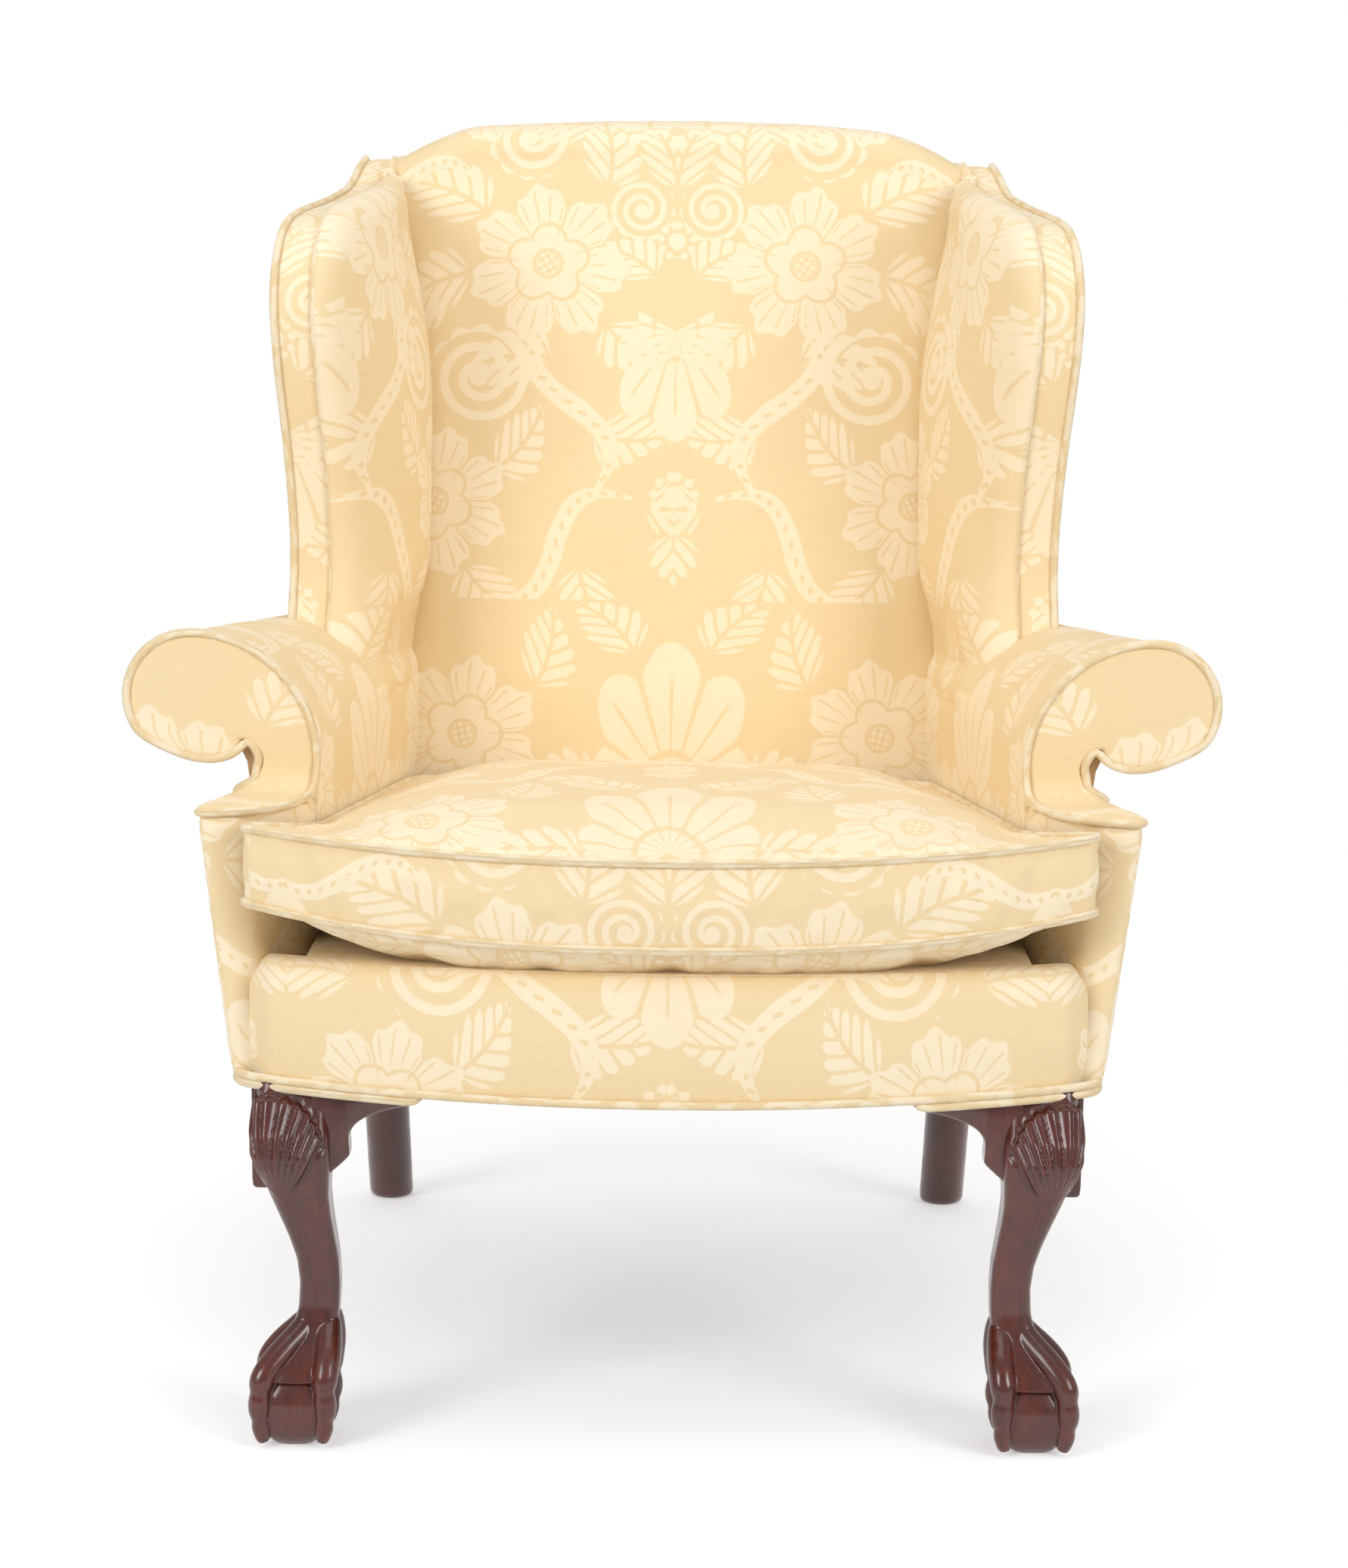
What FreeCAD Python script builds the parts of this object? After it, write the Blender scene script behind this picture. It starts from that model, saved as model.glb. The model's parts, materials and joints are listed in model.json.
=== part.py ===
import FreeCAD, Part
import Sketcher
import math
import os

V = FreeCAD.Vector
DOC = FreeCAD.newDocument("wing_armchair")

# Driving dimensions in millimetres and ratios, measured from the floor, the middle and the arm fronts
SIZES = [
    ("seat_half", 296.5, "half the clear width between the arms, at the arm fronts"),
    ("side_splay", 0.158, "how much the sides draw in for each unit of depth"),
    ("arm_face_y", -187.0, "plane of the arm fronts"),
    ("arm_top", 645.0, "height of the arm roll at the front"),
    ("arm_fall", 0.06, "fall of the arm roll for each unit of depth"),
    ("roll_radius", 104.0, "large radius on the inner side of the arm roll"),
    ("scroll_radius", 52.0, "radius of the scroll at the arm front"),
    ("scroll_back_radius", 38.0, "radius of the scroll at the back"),
    ("arm_foam", 24.0, "padding on the inner side of the arm"),
    ("facing_thickness", 8.0, "padded panel on the arm front"),
    ("ledge_top", 513.0, "height of the ledge in front of the arm"),
    ("ledge_reach", 96.0, "how far the ledge stands in front of the arm front"),
    ("ledge_corner_half", 382.0, "half width at the ledge's outer corners"),
    ("ledge_sheet", 5.0, "thickness of the covered ledge"),
    ("cove_radius", 22.0, "hollow between the arm front and the ledge"),
    ("welt_radius", 3.5, "radius of the piping"),
    ("rail_bottom", 300.0, "underside of the seat rails"),
    ("side_rail_depth", 70.0, "height of the side and rear rails"),
    ("rail_thickness", 28.0, "thickness of the side and rear rails"),
    ("front_rail_thickness", 34.0, "thickness of the front rail at its ends"),
    ("clearance", 0.3, "room left between pieces that meet"),
    ("skirt_half", 345.0, "half width of the covered front border"),
    ("skirt_corner_y", -322.0, "front border at its corners"),
    ("front_bow", 58.0, "how far the front border bows forward"),
    ("border_thickness", 14.0, "padding of the front border"),
    ("border_height", 98.0, "height of the front border"),
    ("side_bottom_half", 352.0, "half width of the arm covers at the rail, in front"),
    ("panel_thickness", 5.0, "outside covers with their stiffener"),
    ("back_bottom_y", 250.0, "outside of the back at the rail"),
    ("back_rake_out", 0.182, "lean of the outside back"),
    ("back_seat_y", 158.0, "inside back at the reference height"),
    ("back_seat_z", 500.0, "reference height on the inside back"),
    ("back_rake_in", 0.263, "lean of the inside back"),
    ("back_crown", 16.0, "fullness of the inside back at its middle"),
    ("back_foam_base", 392.0, "lower edge of the inside back"),
    ("crest_top", 1079.0, "top of the back"),
    ("crest_plateau_half", 186.0, "half width of the level part of the crest"),
    ("crest_drop", 6.0, "fall of the crest to the ends of its level part"),
    ("shoulder_half", 276.0, "half width at the foot of the shoulders"),
    ("shoulder_drop", 44.0, "fall of the shoulders below the crest"),
    ("crest_rail_height", 52.0, "from the top of the posts to the foot of the shoulders"),
    ("crest_padding", 16.0, "padding above the crest rail"),
    ("wing_half", 353.0, "half width across the wings at their widest"),
    ("wing_lean", 0.03, "outward lean of the wings for each unit of height"),
    ("wing_front_y", 13.0, "front of the wings at their widest"),
    ("wing_widest_z", 895.0, "height where the wings are widest"),
    ("wing_boxing", 35.0, "thickness of the wings at the front edge"),
    ("wing_band", 5.0, "thickness of the boxing band"),
    ("wing_pad_half", 242.0, "half width of the inside back between the wing pads"),
    ("wing_top", 1027.0, "height of the wings where they meet the back"),
    ("wing_setback", 40.0, "hollow of the wing's front edge"),
    ("post_width", 28.0, "width of the back posts"),
    ("post_depth", 40.0, "depth of the back posts"),
    ("front_foot_x", 301.0, "front foot from the middle"),
    ("front_foot_y", -332.0, "front foot centre"),
    ("ball_radius", 34.0, "ball of the front foot"),
    ("ankle_width", 32.7, "thinnest part of the front leg"),
    ("ankle_inset", 19.0, "ankle inside the ball's centre, both ways"),
    ("knee_width", 62.0, "width of the knee"),
    ("block_reach", 58.0, "length of the corner blocks along the rails"),
    ("leg_post", 40.0, "square post above the knee"),
    ("rear_foot_x", 280.5, "rear foot from the middle"),
    ("rear_foot_y", 365.4, "rear foot centre on the floor"),
    ("rear_leg_radius", 22.0, "radius of the rear legs"),
    ("rear_leg_top_y", 232.0, "rear leg centre under the rail"),
    ("bracket_reach", 66.0, "length of a knee bracket"),
    ("bracket_thickness", 22.0, "thickness of a knee bracket"),
    ("bracket_drop", 60.0, "height of a knee bracket beside the leg"),
    ("deck_front_z", 400.0, "top of the seat deck at the front"),
    ("deck_thickness", 14.0, "padding of the seat deck"),
    ("seat_pitch", 0.045, "fall of the seat for each unit of depth"),
    ("spring_wire", 3.8, "wire of the seat springs"),
    ("spring_count", 5, "number of seat springs"),
    ("spring_loop", 44.0, "width of the spring's loops"),
    ("spring_pitch", 40.0, "depth of one full wave of a spring"),
    ("cushion_gap", 6.0, "clearance of the seat cushion all round"),
    ("cushion_front_y", -384.0, "front of the cushion at the middle, without piping"),
    ("cushion_bow", 62.0, "bow of the cushion's front edge"),
    ("cushion_corner_half", 342.0, "half width across the cushion's ears"),
    ("cushion_boxing", 70.0, "height of the cushion between its pipings"),
    ("cushion_crown", 34.0, "rise of the cushion above its top piping"),
    ("cushion_belly", 22.0, "fullness below the lower piping"),
    ("cover_thickness", 2.0, "fabric cover of the cushion"),
    ("zipper_half", 150.0, "half length of the zip placket"),
    ("bolt_radius", 4.0, "hanger bolts of the rear legs"),
    ("bolt_length", 70.0, "length of the hanger bolts"),
    ("webbing_width", 50.0, "width of the back webbing"),
    ("webbing_count", 4, "number of back webbing straps"),
    ("sheet_thickness", 2.0, "webbing, burlap and dust cover"),
]


def build_sheet():
    """Write the driving dimensions to a spreadsheet and return it."""
    sheet = DOC.addObject("Spreadsheet::Sheet", "dims")
    for row, (name, size, note) in enumerate(SIZES, start=1):
        sheet.set(f"A{row}", name)
        sheet.set(f"B{row}", str(size))
        sheet.setAlias(f"B{row}", name)
        sheet.set(f"C{row}", note)
    DOC.recompute()
    return sheet


class Sizes:
    """Reads a driving dimension from the sheet by its name."""

    def __init__(self, sheet):
        self.sheet = sheet

    def __getattr__(self, name):
        return float(self.sheet.get(name))


SHEET = build_sheet()
D = Sizes(SHEET)
NODES = {}
SIDES = {"right": 1, "left": -1}


def node(name, shape):
    """Keep a finished shape as a sub-part of its own."""
    piece = DOC.addObject("Part::Feature", name)
    piece.Label = name
    piece.Shape = shape
    NODES[name] = piece
    return piece


def both_sides(stem, shape):
    """Keep a right-hand shape and its mirror image; returns the pair of shapes."""
    twin = shape.mirror(V(0, 0, 0), V(1, 0, 0))
    node(stem + "_right", shape)
    node(stem + "_left", twin)
    return [shape, twin]


def mirrored(shapes):
    """The shapes together with their mirror images."""
    return list(shapes) + [shape.mirror(V(0, 0, 0), V(1, 0, 0)) for shape in shapes]


def cut_by(shape, tools):
    """The shape with every tool taken out of it, as one clean solid."""
    result = shape.cut(Part.makeCompound(list(tools)))
    solids = sorted(result.Solids, key=lambda solid: solid.Volume)
    return solids[-1]


def line(a, b):
    return Part.LineSegment(a, b).toShape()


def arc(a, via, b):
    return Part.Arc(a, via, b).toShape()


def closed_wire(points, place):
    """A closed wire through (u, v) corners; a second pair turns the edge after a corner into an arc."""
    edges = []
    for index, corner in enumerate(points):
        following = points[(index + 1) % len(points)]
        start, end = place(*corner[0]), place(*following[0])
        if len(corner) == 2:
            edges.append(arc(start, place(*corner[1]), end))
        else:
            edges.append(line(start, end))
    return Part.Wire(edges)


STRAIGHT = math.radians(0.5)


def rounded_path(points, closed=False):
    """Straight runs joined by tangent arcs, each as large as its two runs allow."""
    share = 0.45
    count = len(points)
    inner = range(count) if closed else range(1, count - 1)
    bends = {}
    for index in inner:
        before = points[index] - points[index - 1]
        after = points[(index + 1) % count] - points[index]
        reach = share * min(before.Length, after.Length)
        before.normalize()
        after.normalize()
        start, end = points[index] - before * reach, points[index] + after * reach
        turn = before.getAngle(after)
        if turn < STRAIGHT:
            continue
        radius = reach / math.tan(turn / 2)
        inward = (after - before).normalize()
        middle = points[index] + inward * (math.hypot(radius, reach) - radius)
        bends[index] = (start, middle, end)
    edges = []
    last = bends[max(bends)][2] if closed else points[0]
    for index in sorted(bends):
        start, middle, end = bends[index]
        edges += [line(last, start), arc(start, middle, end)]
        last = end
    return edges if closed else edges + [line(last, points[-1])]


def sweep_round(edges, radius):
    """A round rod along a tangent path."""
    path = Part.Wire(edges)
    first = edges[0]
    start = first.valueAt(first.FirstParameter)
    heading = first.tangentAt(first.FirstParameter)
    circle = Part.Wire([Part.Circle(start, heading, radius).toShape()])
    rod = path.makePipeShell([circle], True, False)
    return rod.Solids[0] if rod.Solids else Part.makeSolid(rod)


def piping(points, radius, closed=False):
    """A piping through the points; a closed one is two halves joined."""
    edges = rounded_path(points, closed)
    if not closed:
        return sweep_round(edges, radius)
    half = len(edges) // 4 * 2
    return sweep_round(edges[:half], radius).fuse(sweep_round(edges[half:], radius)).removeSplitter()


def sketch_body(name, plane, corners, start, length):
    """A padded sketch. Corners are (x, y, bulge) expressions; bulge is the rise of an arc to the next."""
    body = DOC.addObject("PartDesign::Body", name)
    body.Label = name
    sketch = body.newObject("Sketcher::SketchObject", name + "_outline")
    origin_plane = [item for item in body.Origin.OriginFeatures if item.Role == plane][0]
    sketch.AttachmentSupport = [(origin_plane, "")]
    sketch.MapMode = "FlatFace"
    sketch.setExpression("AttachmentOffset.Base.z", start)
    at = [V(read(x), read(y), 0) for x, y, _ in corners]
    ends = []
    for index, (_, _, bulge) in enumerate(corners):
        a, b = at[index], at[(index + 1) % len(at)]
        if bulge is None:
            sketch.addGeometry(Part.LineSegment(a, b), False)
            ends.append((1, 2))
        else:
            chord = b - a
            middle = (a + b) * 0.5 + V(chord.y, -chord.x, 0).normalize() * read(bulge)
            leftward = (middle - a).cross(b - middle).z > 0
            sketch.addGeometry(Part.Arc(a, middle, b) if leftward else Part.Arc(b, middle, a), False)
            ends.append((1, 2) if leftward else (2, 1))
    tie = Sketcher.Constraint
    for index, (x, y, bulge) in enumerate(corners):
        following = (index + 1) % len(corners)
        next_x, next_y, _ = corners[following]
        sketch.addConstraint(tie("Coincident", index, ends[index][1], following, ends[following][0]))
        for kind, text, axis, place in (("DistanceX", x, -2, at[index].x), ("DistanceY", y, -1, at[index].y)):
            if text == "0":
                sketch.addConstraint(tie("PointOnObject", index, ends[index][0], axis))
            else:
                spot = sketch.addConstraint(tie(kind, -1, 1, index, ends[index][0], place))
                sketch.setExpression(f"Constraints[{spot}]", text)
        if bulge is not None:
            half_square = f"((({next_x}) - ({x}))^2 + (({next_y}) - ({y}))^2) / 4"
            radius = f"({half_square} + abs({bulge})^2) / (2 * abs({bulge}))"
            spot = sketch.addConstraint(tie("Radius", index, read(radius)))
            sketch.setExpression(f"Constraints[{spot}]", radius)
    pad = body.newObject("PartDesign::Pad", name + "_pad")
    pad.Profile = sketch
    pad.setExpression("Length", length)
    sketch.Visibility = False
    DOC.recompute()
    NODES[name] = body
    return body


def read(text):
    """The value of an expression on the sheet's names."""
    value = SHEET.evalExpression(text)
    return float(getattr(value, "Value", value))


# Surfaces of the chair

def inside_arm_x(y):
    return D.seat_half - D.side_splay * (y - D.arm_face_y)


def arm_top_z(y):
    return D.arm_top - D.arm_fall * (y - D.arm_face_y)


def outside_back_y(z):
    return D.back_bottom_y + D.back_rake_out * (z - D.rail_bottom)


def inside_back_y(z):
    return D.back_seat_y + D.back_rake_in * (z - D.back_seat_z)


def wing_x(y, z):
    return D.wing_half - D.side_splay * (y - D.wing_front_y) + D.wing_lean * (z - D.wing_widest_z)


def side_x(y):
    """Outside of the arm covers at the rail, narrowing to the back posts."""
    rear = wing_x(D.back_bottom_y, D.rail_bottom)
    front_y = D.skirt_corner_y
    return D.side_bottom_half + (rear - D.side_bottom_half) * (y - front_y) / (D.back_bottom_y - front_y)


def crest_z(x):
    plateau = D.crest_plateau_half
    if abs(x) <= plateau:
        return D.crest_top - D.crest_drop * (x / plateau) ** 2
    share = (abs(x) - plateau) / (D.shoulder_half - plateau)
    return D.crest_top - D.crest_drop - (D.shoulder_drop - D.crest_drop) * share ** 1.5


def deck_z(y):
    return D.deck_front_z - D.seat_pitch * (y - D.skirt_corner_y + D.front_bow)


# Seat frame

SKIRT_RADIUS = "((dims.skirt_half^2 + dims.front_bow^2) / (2 * dims.front_bow))"
SKIRT_CENTRE = f"(dims.skirt_corner_y - dims.front_bow + {SKIRT_RADIUS})"


def bow_y(half, inset):
    """Expression for the bowed front, a padding's thickness inside its face, at a half width."""
    return f"({SKIRT_CENTRE} - sqrt(({SKIRT_RADIUS} - {inset})^2 - ({half})^2))"


def bow_rise(half, inset):
    """Expression for the rise of that bow over the chord between both half widths."""
    return f"({SKIRT_RADIUS} - {inset} - sqrt(({SKIRT_RADIUS} - {inset})^2 - ({half})^2))"


POST_OUT = "(dims.skirt_half - dims.border_thickness)"
POST_IN = f"({POST_OUT} - dims.leg_post)"
POST_FRONT = f"({bow_y(POST_OUT, 'dims.border_thickness')} + dims.clearance)"
POST_BACK = f"({POST_FRONT} + dims.leg_post)"
FRONT_RAIL_HALF = f"({POST_IN} - dims.clearance)"
FRONT_RAIL_FACE = bow_y(FRONT_RAIL_HALF, "dims.border_thickness")
FRONT_RAIL_REAR = f"({FRONT_RAIL_FACE} + dims.front_rail_thickness)"
DECK_FALL = f"(dims.seat_pitch * ({FRONT_RAIL_REAR} - dims.skirt_corner_y + dims.front_bow))"
FRONT_RAIL_TOP = f"(dims.deck_front_z - dims.deck_thickness - dims.clearance - {DECK_FALL})"


def front_rail():
    half, front, rear = FRONT_RAIL_HALF, FRONT_RAIL_FACE, FRONT_RAIL_REAR
    corners = [("-" + half, front, bow_rise(half, "dims.border_thickness")), (half, front, None),
               (half, rear, None), ("-" + half, rear, None)]
    height = f"({FRONT_RAIL_TOP} - dims.rail_bottom)"
    return sketch_body("front_rail", "XY_Plane", corners, "dims.rail_bottom", height)


def front_border():
    half, inner = "dims.skirt_half", "(dims.skirt_half - dims.border_thickness)"
    corners = [("-" + half, bow_y(half, "0"), bow_rise(half, "0")),
               (half, bow_y(half, "0"), None),
               (inner, bow_y(inner, "dims.border_thickness"),
                "-" + bow_rise(inner, "dims.border_thickness")),
               ("-" + inner, bow_y(inner, "dims.border_thickness"), None)]
    body = sketch_body("front_border", "XY_Plane", corners, "dims.rail_bottom", "dims.border_height")
    top = D.rail_bottom + D.border_height
    edges = []
    for index, edge in enumerate(body.Shape.Edges, start=1):
        middle = edge.valueAt((edge.FirstParameter + edge.LastParameter) / 2)
        if abs(middle.z - top) < 0.1 and middle.y < D.skirt_corner_y - D.front_bow + 1:
            edges.append(f"Edge{index}")
    pad = body.Tip
    soft = body.newObject("PartDesign::Fillet", "front_border_roll")
    soft.Base = (pad, edges)
    soft.setExpression("Radius", "dims.border_thickness * 0.7")
    body.Tip = soft
    DOC.recompute()
    return body


def rail_end_y(z):
    """Front face of the back posts."""
    return outside_back_y(z) - D.panel_thickness - D.post_depth


def side_rail():
    """Side rail between the front leg's post and the back post, with its rear end raked."""
    start = read(POST_BACK) + D.clearance

    def outline(z):
        end = rail_end_y(z) - D.clearance
        outer = [V(side_x(y) - D.panel_thickness - 0.5, y, z) for y in (start, end)]
        inner = [point - V(D.rail_thickness, 0, 0) for point in reversed(outer)]
        return Part.makePolygon(outer + inner + outer[:1])

    levels = [D.rail_bottom, D.rail_bottom + D.side_rail_depth]
    return both_sides("side_rail", Part.makeLoft([outline(z) for z in levels], True, True))


def raked_corners(bottom, height, depth):
    """Side outline of a member that lies against the outside back, as expressions."""
    lean = "dims.back_rake_out"
    back = f"(dims.back_bottom_y - dims.panel_thickness + {lean} * ({bottom} - dims.rail_bottom))"
    return [(back, bottom, None), (f"({back} + {lean} * {height})", f"({bottom} + {height})", None),
            (f"({back} + {lean} * {height} - {depth})", f"({bottom} + {height})", None),
            (f"({back} - {depth})", bottom, None)]


def post_outer_x():
    """Outer face of the back posts, just inside the outside covers."""
    z = D.rail_bottom
    return wing_x(outside_back_y(z), z) - D.panel_thickness - 1


def post_top_z():
    return D.crest_top - D.shoulder_drop - D.crest_rail_height


def back_members():
    """Posts, rear rail and lower back rail, all raked like the outside back."""
    outer = "(dims.wing_half - dims.side_splay * (dims.back_bottom_y - dims.wing_front_y)"
    outer += " + dims.wing_lean * (dims.rail_bottom - dims.wing_widest_z) - dims.panel_thickness - 1)"
    height = "(dims.crest_top - dims.shoulder_drop - dims.rail_bottom - dims.crest_rail_height)"
    posts = []
    for side, sign in SIDES.items():
        start = f"({outer} - dims.post_width)" if sign > 0 else f"(-{outer})"
        corners = raked_corners("dims.rail_bottom", height, "dims.post_depth")
        posts.append(sketch_body("back_post_" + side, "YZ_Plane", corners, start, "dims.post_width"))
    span = f"({outer} - dims.post_width - dims.clearance)"
    rails = []
    for name, bottom, tall in (("rear_rail", "dims.rail_bottom", "dims.side_rail_depth"),
                               ("lower_back_rail", "(dims.back_foam_base + 4)", "40")):
        corners = raked_corners(bottom, tall, "dims.rail_thickness")
        rails.append(sketch_body(name, "YZ_Plane", corners, f"(-{span})", f"(2 * {span})"))
    return posts, rails


def crest_rail():
    """Shaped rail on top of the posts, under the crest's padding."""
    low = post_top_z() + D.clearance
    inset = D.crest_padding
    half = post_outer_x() - 6

    def place(x, z):
        return V(x, outside_back_y(z) - D.panel_thickness - 3, z)

    plateau = D.crest_plateau_half
    end_z, flat_z = crest_z(half) - inset, crest_z(plateau) - inset
    shoulder = (half + plateau) / 2
    points = [((-half, low),), ((half, low),), ((half, end_z), (shoulder, crest_z(shoulder) - inset)),
              ((plateau, flat_z), (0, D.crest_top - inset)),
              ((-plateau, flat_z), (-shoulder, crest_z(shoulder) - inset)), ((-half, end_z),)]
    rail = Part.Face(closed_wire(points, place)).extrude(V(0, -D.rail_thickness, 0))
    node("crest_rail", rail)
    return rail


def corner_blocks():
    """Triangular blocks behind the front leg posts and in front of the rear rail."""
    height = D.side_rail_depth - 10
    low = D.rail_bottom + 5
    rail_in = D.panel_thickness + 0.8 + D.rail_thickness
    front_y = read(POST_BACK) + D.clearance
    rail_y = read(FRONT_RAIL_REAR) + D.clearance
    reach = D.block_reach
    rear_y = rail_end_y(low) + D.post_depth - D.rail_thickness - D.clearance
    post_x = read(POST_IN) - 0.8
    blocks = []
    front = [(post_x - reach, rail_y), (post_x, rail_y), (post_x, front_y), (side_x(front_y) - rail_in, front_y),
             (side_x(front_y + reach) - rail_in, front_y + reach)]
    inner_x = post_outer_x() - D.post_width - 0.8
    turn_y = rail_end_y(low) - D.clearance
    rear = [(inner_x - reach, rear_y), (inner_x, rear_y), (inner_x, turn_y), (side_x(turn_y) - rail_in, turn_y),
            (side_x(turn_y - reach) - rail_in, turn_y - reach)]
    for outline in (front, rear):
        corners = [V(x, y, low) for x, y in outline]
        face = Part.Face(Part.makePolygon(corners + corners[:1]))
        blocks.append(face.extrude(V(0, 0, height)))
    return mirrored(blocks)


# Legs

def rounded_square(x, y, z, width):
    """A square section with round corners, as the cabriole leg is cut before carving."""
    half, flat = width / 2, width * 0.22
    bow = (half - flat) * (1 - math.sqrt(0.5))
    points = []
    for turn in range(4):
        angle = math.radians(90 * turn)

        def spun(u, v):
            return (u * math.cos(angle) - v * math.sin(angle), u * math.sin(angle) + v * math.cos(angle))

        points.append((spun(half, -flat),))
        points.append((spun(half, flat), spun(half - bow, half - bow)))
    return closed_wire(points, lambda u, v: V(x + u, y + v, z))


def disc_wire(centre, radius):
    """A level circle in four quarter arcs."""
    slant = radius * math.sqrt(0.5)
    points = [((radius, 0), (slant, slant)), ((0, radius), (-slant, slant)),
              ((-radius, 0), (-slant, -slant)), ((0, -radius), (slant, -slant))]
    return closed_wire(points, lambda u, v: V(centre.x + u, centre.y + v, centre.z))


def front_leg():
    """Cabriole leg with its claw and ball foot and the post that stands in the rail's corner."""
    foot_x, foot_y, inset = D.front_foot_x, D.front_foot_y, D.ankle_inset
    top = D.rail_bottom
    knee, ankle = D.knee_width, D.ankle_width
    ankle_x, ankle_y = foot_x - inset, foot_y + inset
    stations = [(1.0, 22, 2, 0.92), (0.845, 19.5, 18, 1.0), (0.72, 15, 15, 0.81), (0.593, 7.3, 7.5, 0.626)]
    sections = [rounded_square(ankle_x + out, ankle_y - ahead, top * share, knee * size)
                for share, out, ahead, size in stations]
    sections += [rounded_square(ankle_x, ankle_y, top * 0.44, ankle),
                 rounded_square(ankle_x + 2, ankle_y - 2, top * 0.32, ankle * 1.05),
                 rounded_square(ankle_x + 9, ankle_y - 9, top * 0.23, ankle * 1.3),
                 rounded_square(ankle_x + 14, ankle_y - 14, top * 0.15, ankle * 1.35)]
    shaft = Part.makeLoft(sections, True, False)
    ball = Part.makeSphere(D.ball_radius, V(foot_x, foot_y, D.ball_radius - 1.5))
    claws = []
    for turn in range(4):
        angle = math.radians(45 + 90 * turn)
        away = V(math.cos(angle), math.sin(angle), 0)
        path = [(0.45, 2.45), (0.85, 1.95), (1.02, 1.35), (1.06, 0.85), (0.98, 0.35), (0.8, 0.06)]
        widths = [5.5, 8, 7, 7.5, 6, 3.5]
        rings = []
        for (out, up), width in zip(path, widths):
            centre = V(foot_x, foot_y, 0) + away * (out * D.ball_radius)
            rings.append(disc_wire(V(centre.x, centre.y, up * D.ball_radius), width))
        claws.append(Part.makeLoft(rings, True, False))
    post_x, post_y = read(POST_IN), read(POST_FRONT)
    post = Part.makeBox(D.leg_post, D.leg_post, read(FRONT_RAIL_TOP) - top, V(post_x, post_y, top))
    leg = shaft.multiFuse([ball, post] + claws)
    below = Part.makeBox(200, 200, 60, V(foot_x - 100, foot_y - 100, -60))
    return cut_by(leg, [below])


def knee_brackets(leg):
    """The two shaped brackets that carry the knee's curve along the rails."""
    reach, drop, top = D.bracket_reach, D.bracket_drop, D.rail_bottom - D.clearance
    outline = [((0, top),), ((-reach, top),), ((-reach, top - 16), (-reach * 0.53, top - 26)),
               ((-24, top - 41),), ((-22, top - drop), (-14, top - drop - 6)), ((0, top - drop - 24),)]
    root = D.front_foot_x - D.ankle_inset
    front_y = read(bow_y(str(root - reach / 2), "0")) + D.bracket_thickness * 0.4
    along = Part.Face(closed_wire(outline, lambda u, z: V(root + u, front_y, z)))
    inner = along.extrude(V(0, D.bracket_thickness, 0))
    back_y = D.front_foot_y + D.ankle_inset + 14
    side_in = side_x(back_y + reach) - D.panel_thickness - D.bracket_thickness
    across = Part.Face(closed_wire(outline, lambda u, z: V(side_in, back_y - u, z)))
    side = across.extrude(V(D.bracket_thickness, 0, 0))
    return [cut_by(inner, [leg]), cut_by(side, [leg])]


def rear_leg():
    """Plain round leg that rakes back from under the post."""
    foot, top_y = V(D.rear_foot_x, D.rear_foot_y, 0), D.rear_leg_top_y
    rings = []
    for share in (0, 0.33, 0.66, 1.0):
        sweep = (top_y - foot.y) * (1.25 * share - 0.25 * share ** 2)
        level = (D.rail_bottom - D.clearance) * share
        rings.append(disc_wire(V(foot.x, foot.y + sweep, level), D.rear_leg_radius))
    return Part.makeLoft(rings, True, False)


def leg_bolts():
    """Hanger bolts from the rear legs up into the back posts."""
    start = V(post_outer_x() - D.post_width / 2, D.rear_leg_top_y - 6, D.rail_bottom - D.bolt_length / 2)
    return Part.makeCylinder(D.bolt_radius, D.bolt_length, start, V(0, 0.12, 1))


# Seat springs and deck

def seat_springs():
    """Wave springs from the front rail to the rear rail, with a clip at each end."""
    front_y = read(FRONT_RAIL_REAR) + D.clearance
    step = D.spring_pitch / 2
    loop = D.spring_loop / 2
    gap = 2 * D.seat_half / (D.spring_count + 1)
    springs, clips = [], []
    for index in range(int(D.spring_count)):
        x = (index - (D.spring_count - 1) / 2) * gap * 0.86

        def height(y):
            return deck_z(y) - D.deck_thickness - D.spring_wire / 2 - D.clearance

        rear_y = outside_back_y(height(D.back_bottom_y) - 6) - D.panel_thickness - D.rail_thickness - D.clearance
        waves = int((rear_y - front_y - D.spring_pitch) // D.spring_pitch)
        lead = (rear_y - front_y - waves * D.spring_pitch) / 2
        start_y = front_y + lead
        points = [V(x, front_y, height(front_y)), V(x, start_y, height(start_y))]
        side = 1
        for bend in range(2 * waves):
            points += [V(x + side * loop, y, height(y)) for y in (start_y + bend * step, start_y + (bend + 1) * step)]
            side = -side
        end_y = rear_y - lead
        points += [V(x, end_y, height(end_y)), V(x, rear_y, height(rear_y))]
        spring = sweep_round(rounded_path(points), D.spring_wire / 2)
        springs.append(spring)
        for clip_y, shift in ((front_y, 0), (rear_y, -12)):
            clip = Part.makeBox(16, 12, 7, V(x - 8, clip_y + shift, height(clip_y) - 6))
            clips.append(cut_by(clip, [spring]))
    return Part.makeCompound(springs), Part.makeCompound(clips)


def level_plate(points, low, high):
    """A plate between two tilted levels, given as functions of depth."""
    bottom = [V(x, y, low(y)) for x, y in points]
    top = [V(x, y, high(y)) for x, y in points]
    wires = [Part.makePolygon(ring + ring[:1]) for ring in (bottom, top)]
    return Part.makeLoft(wires, True, True)


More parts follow.
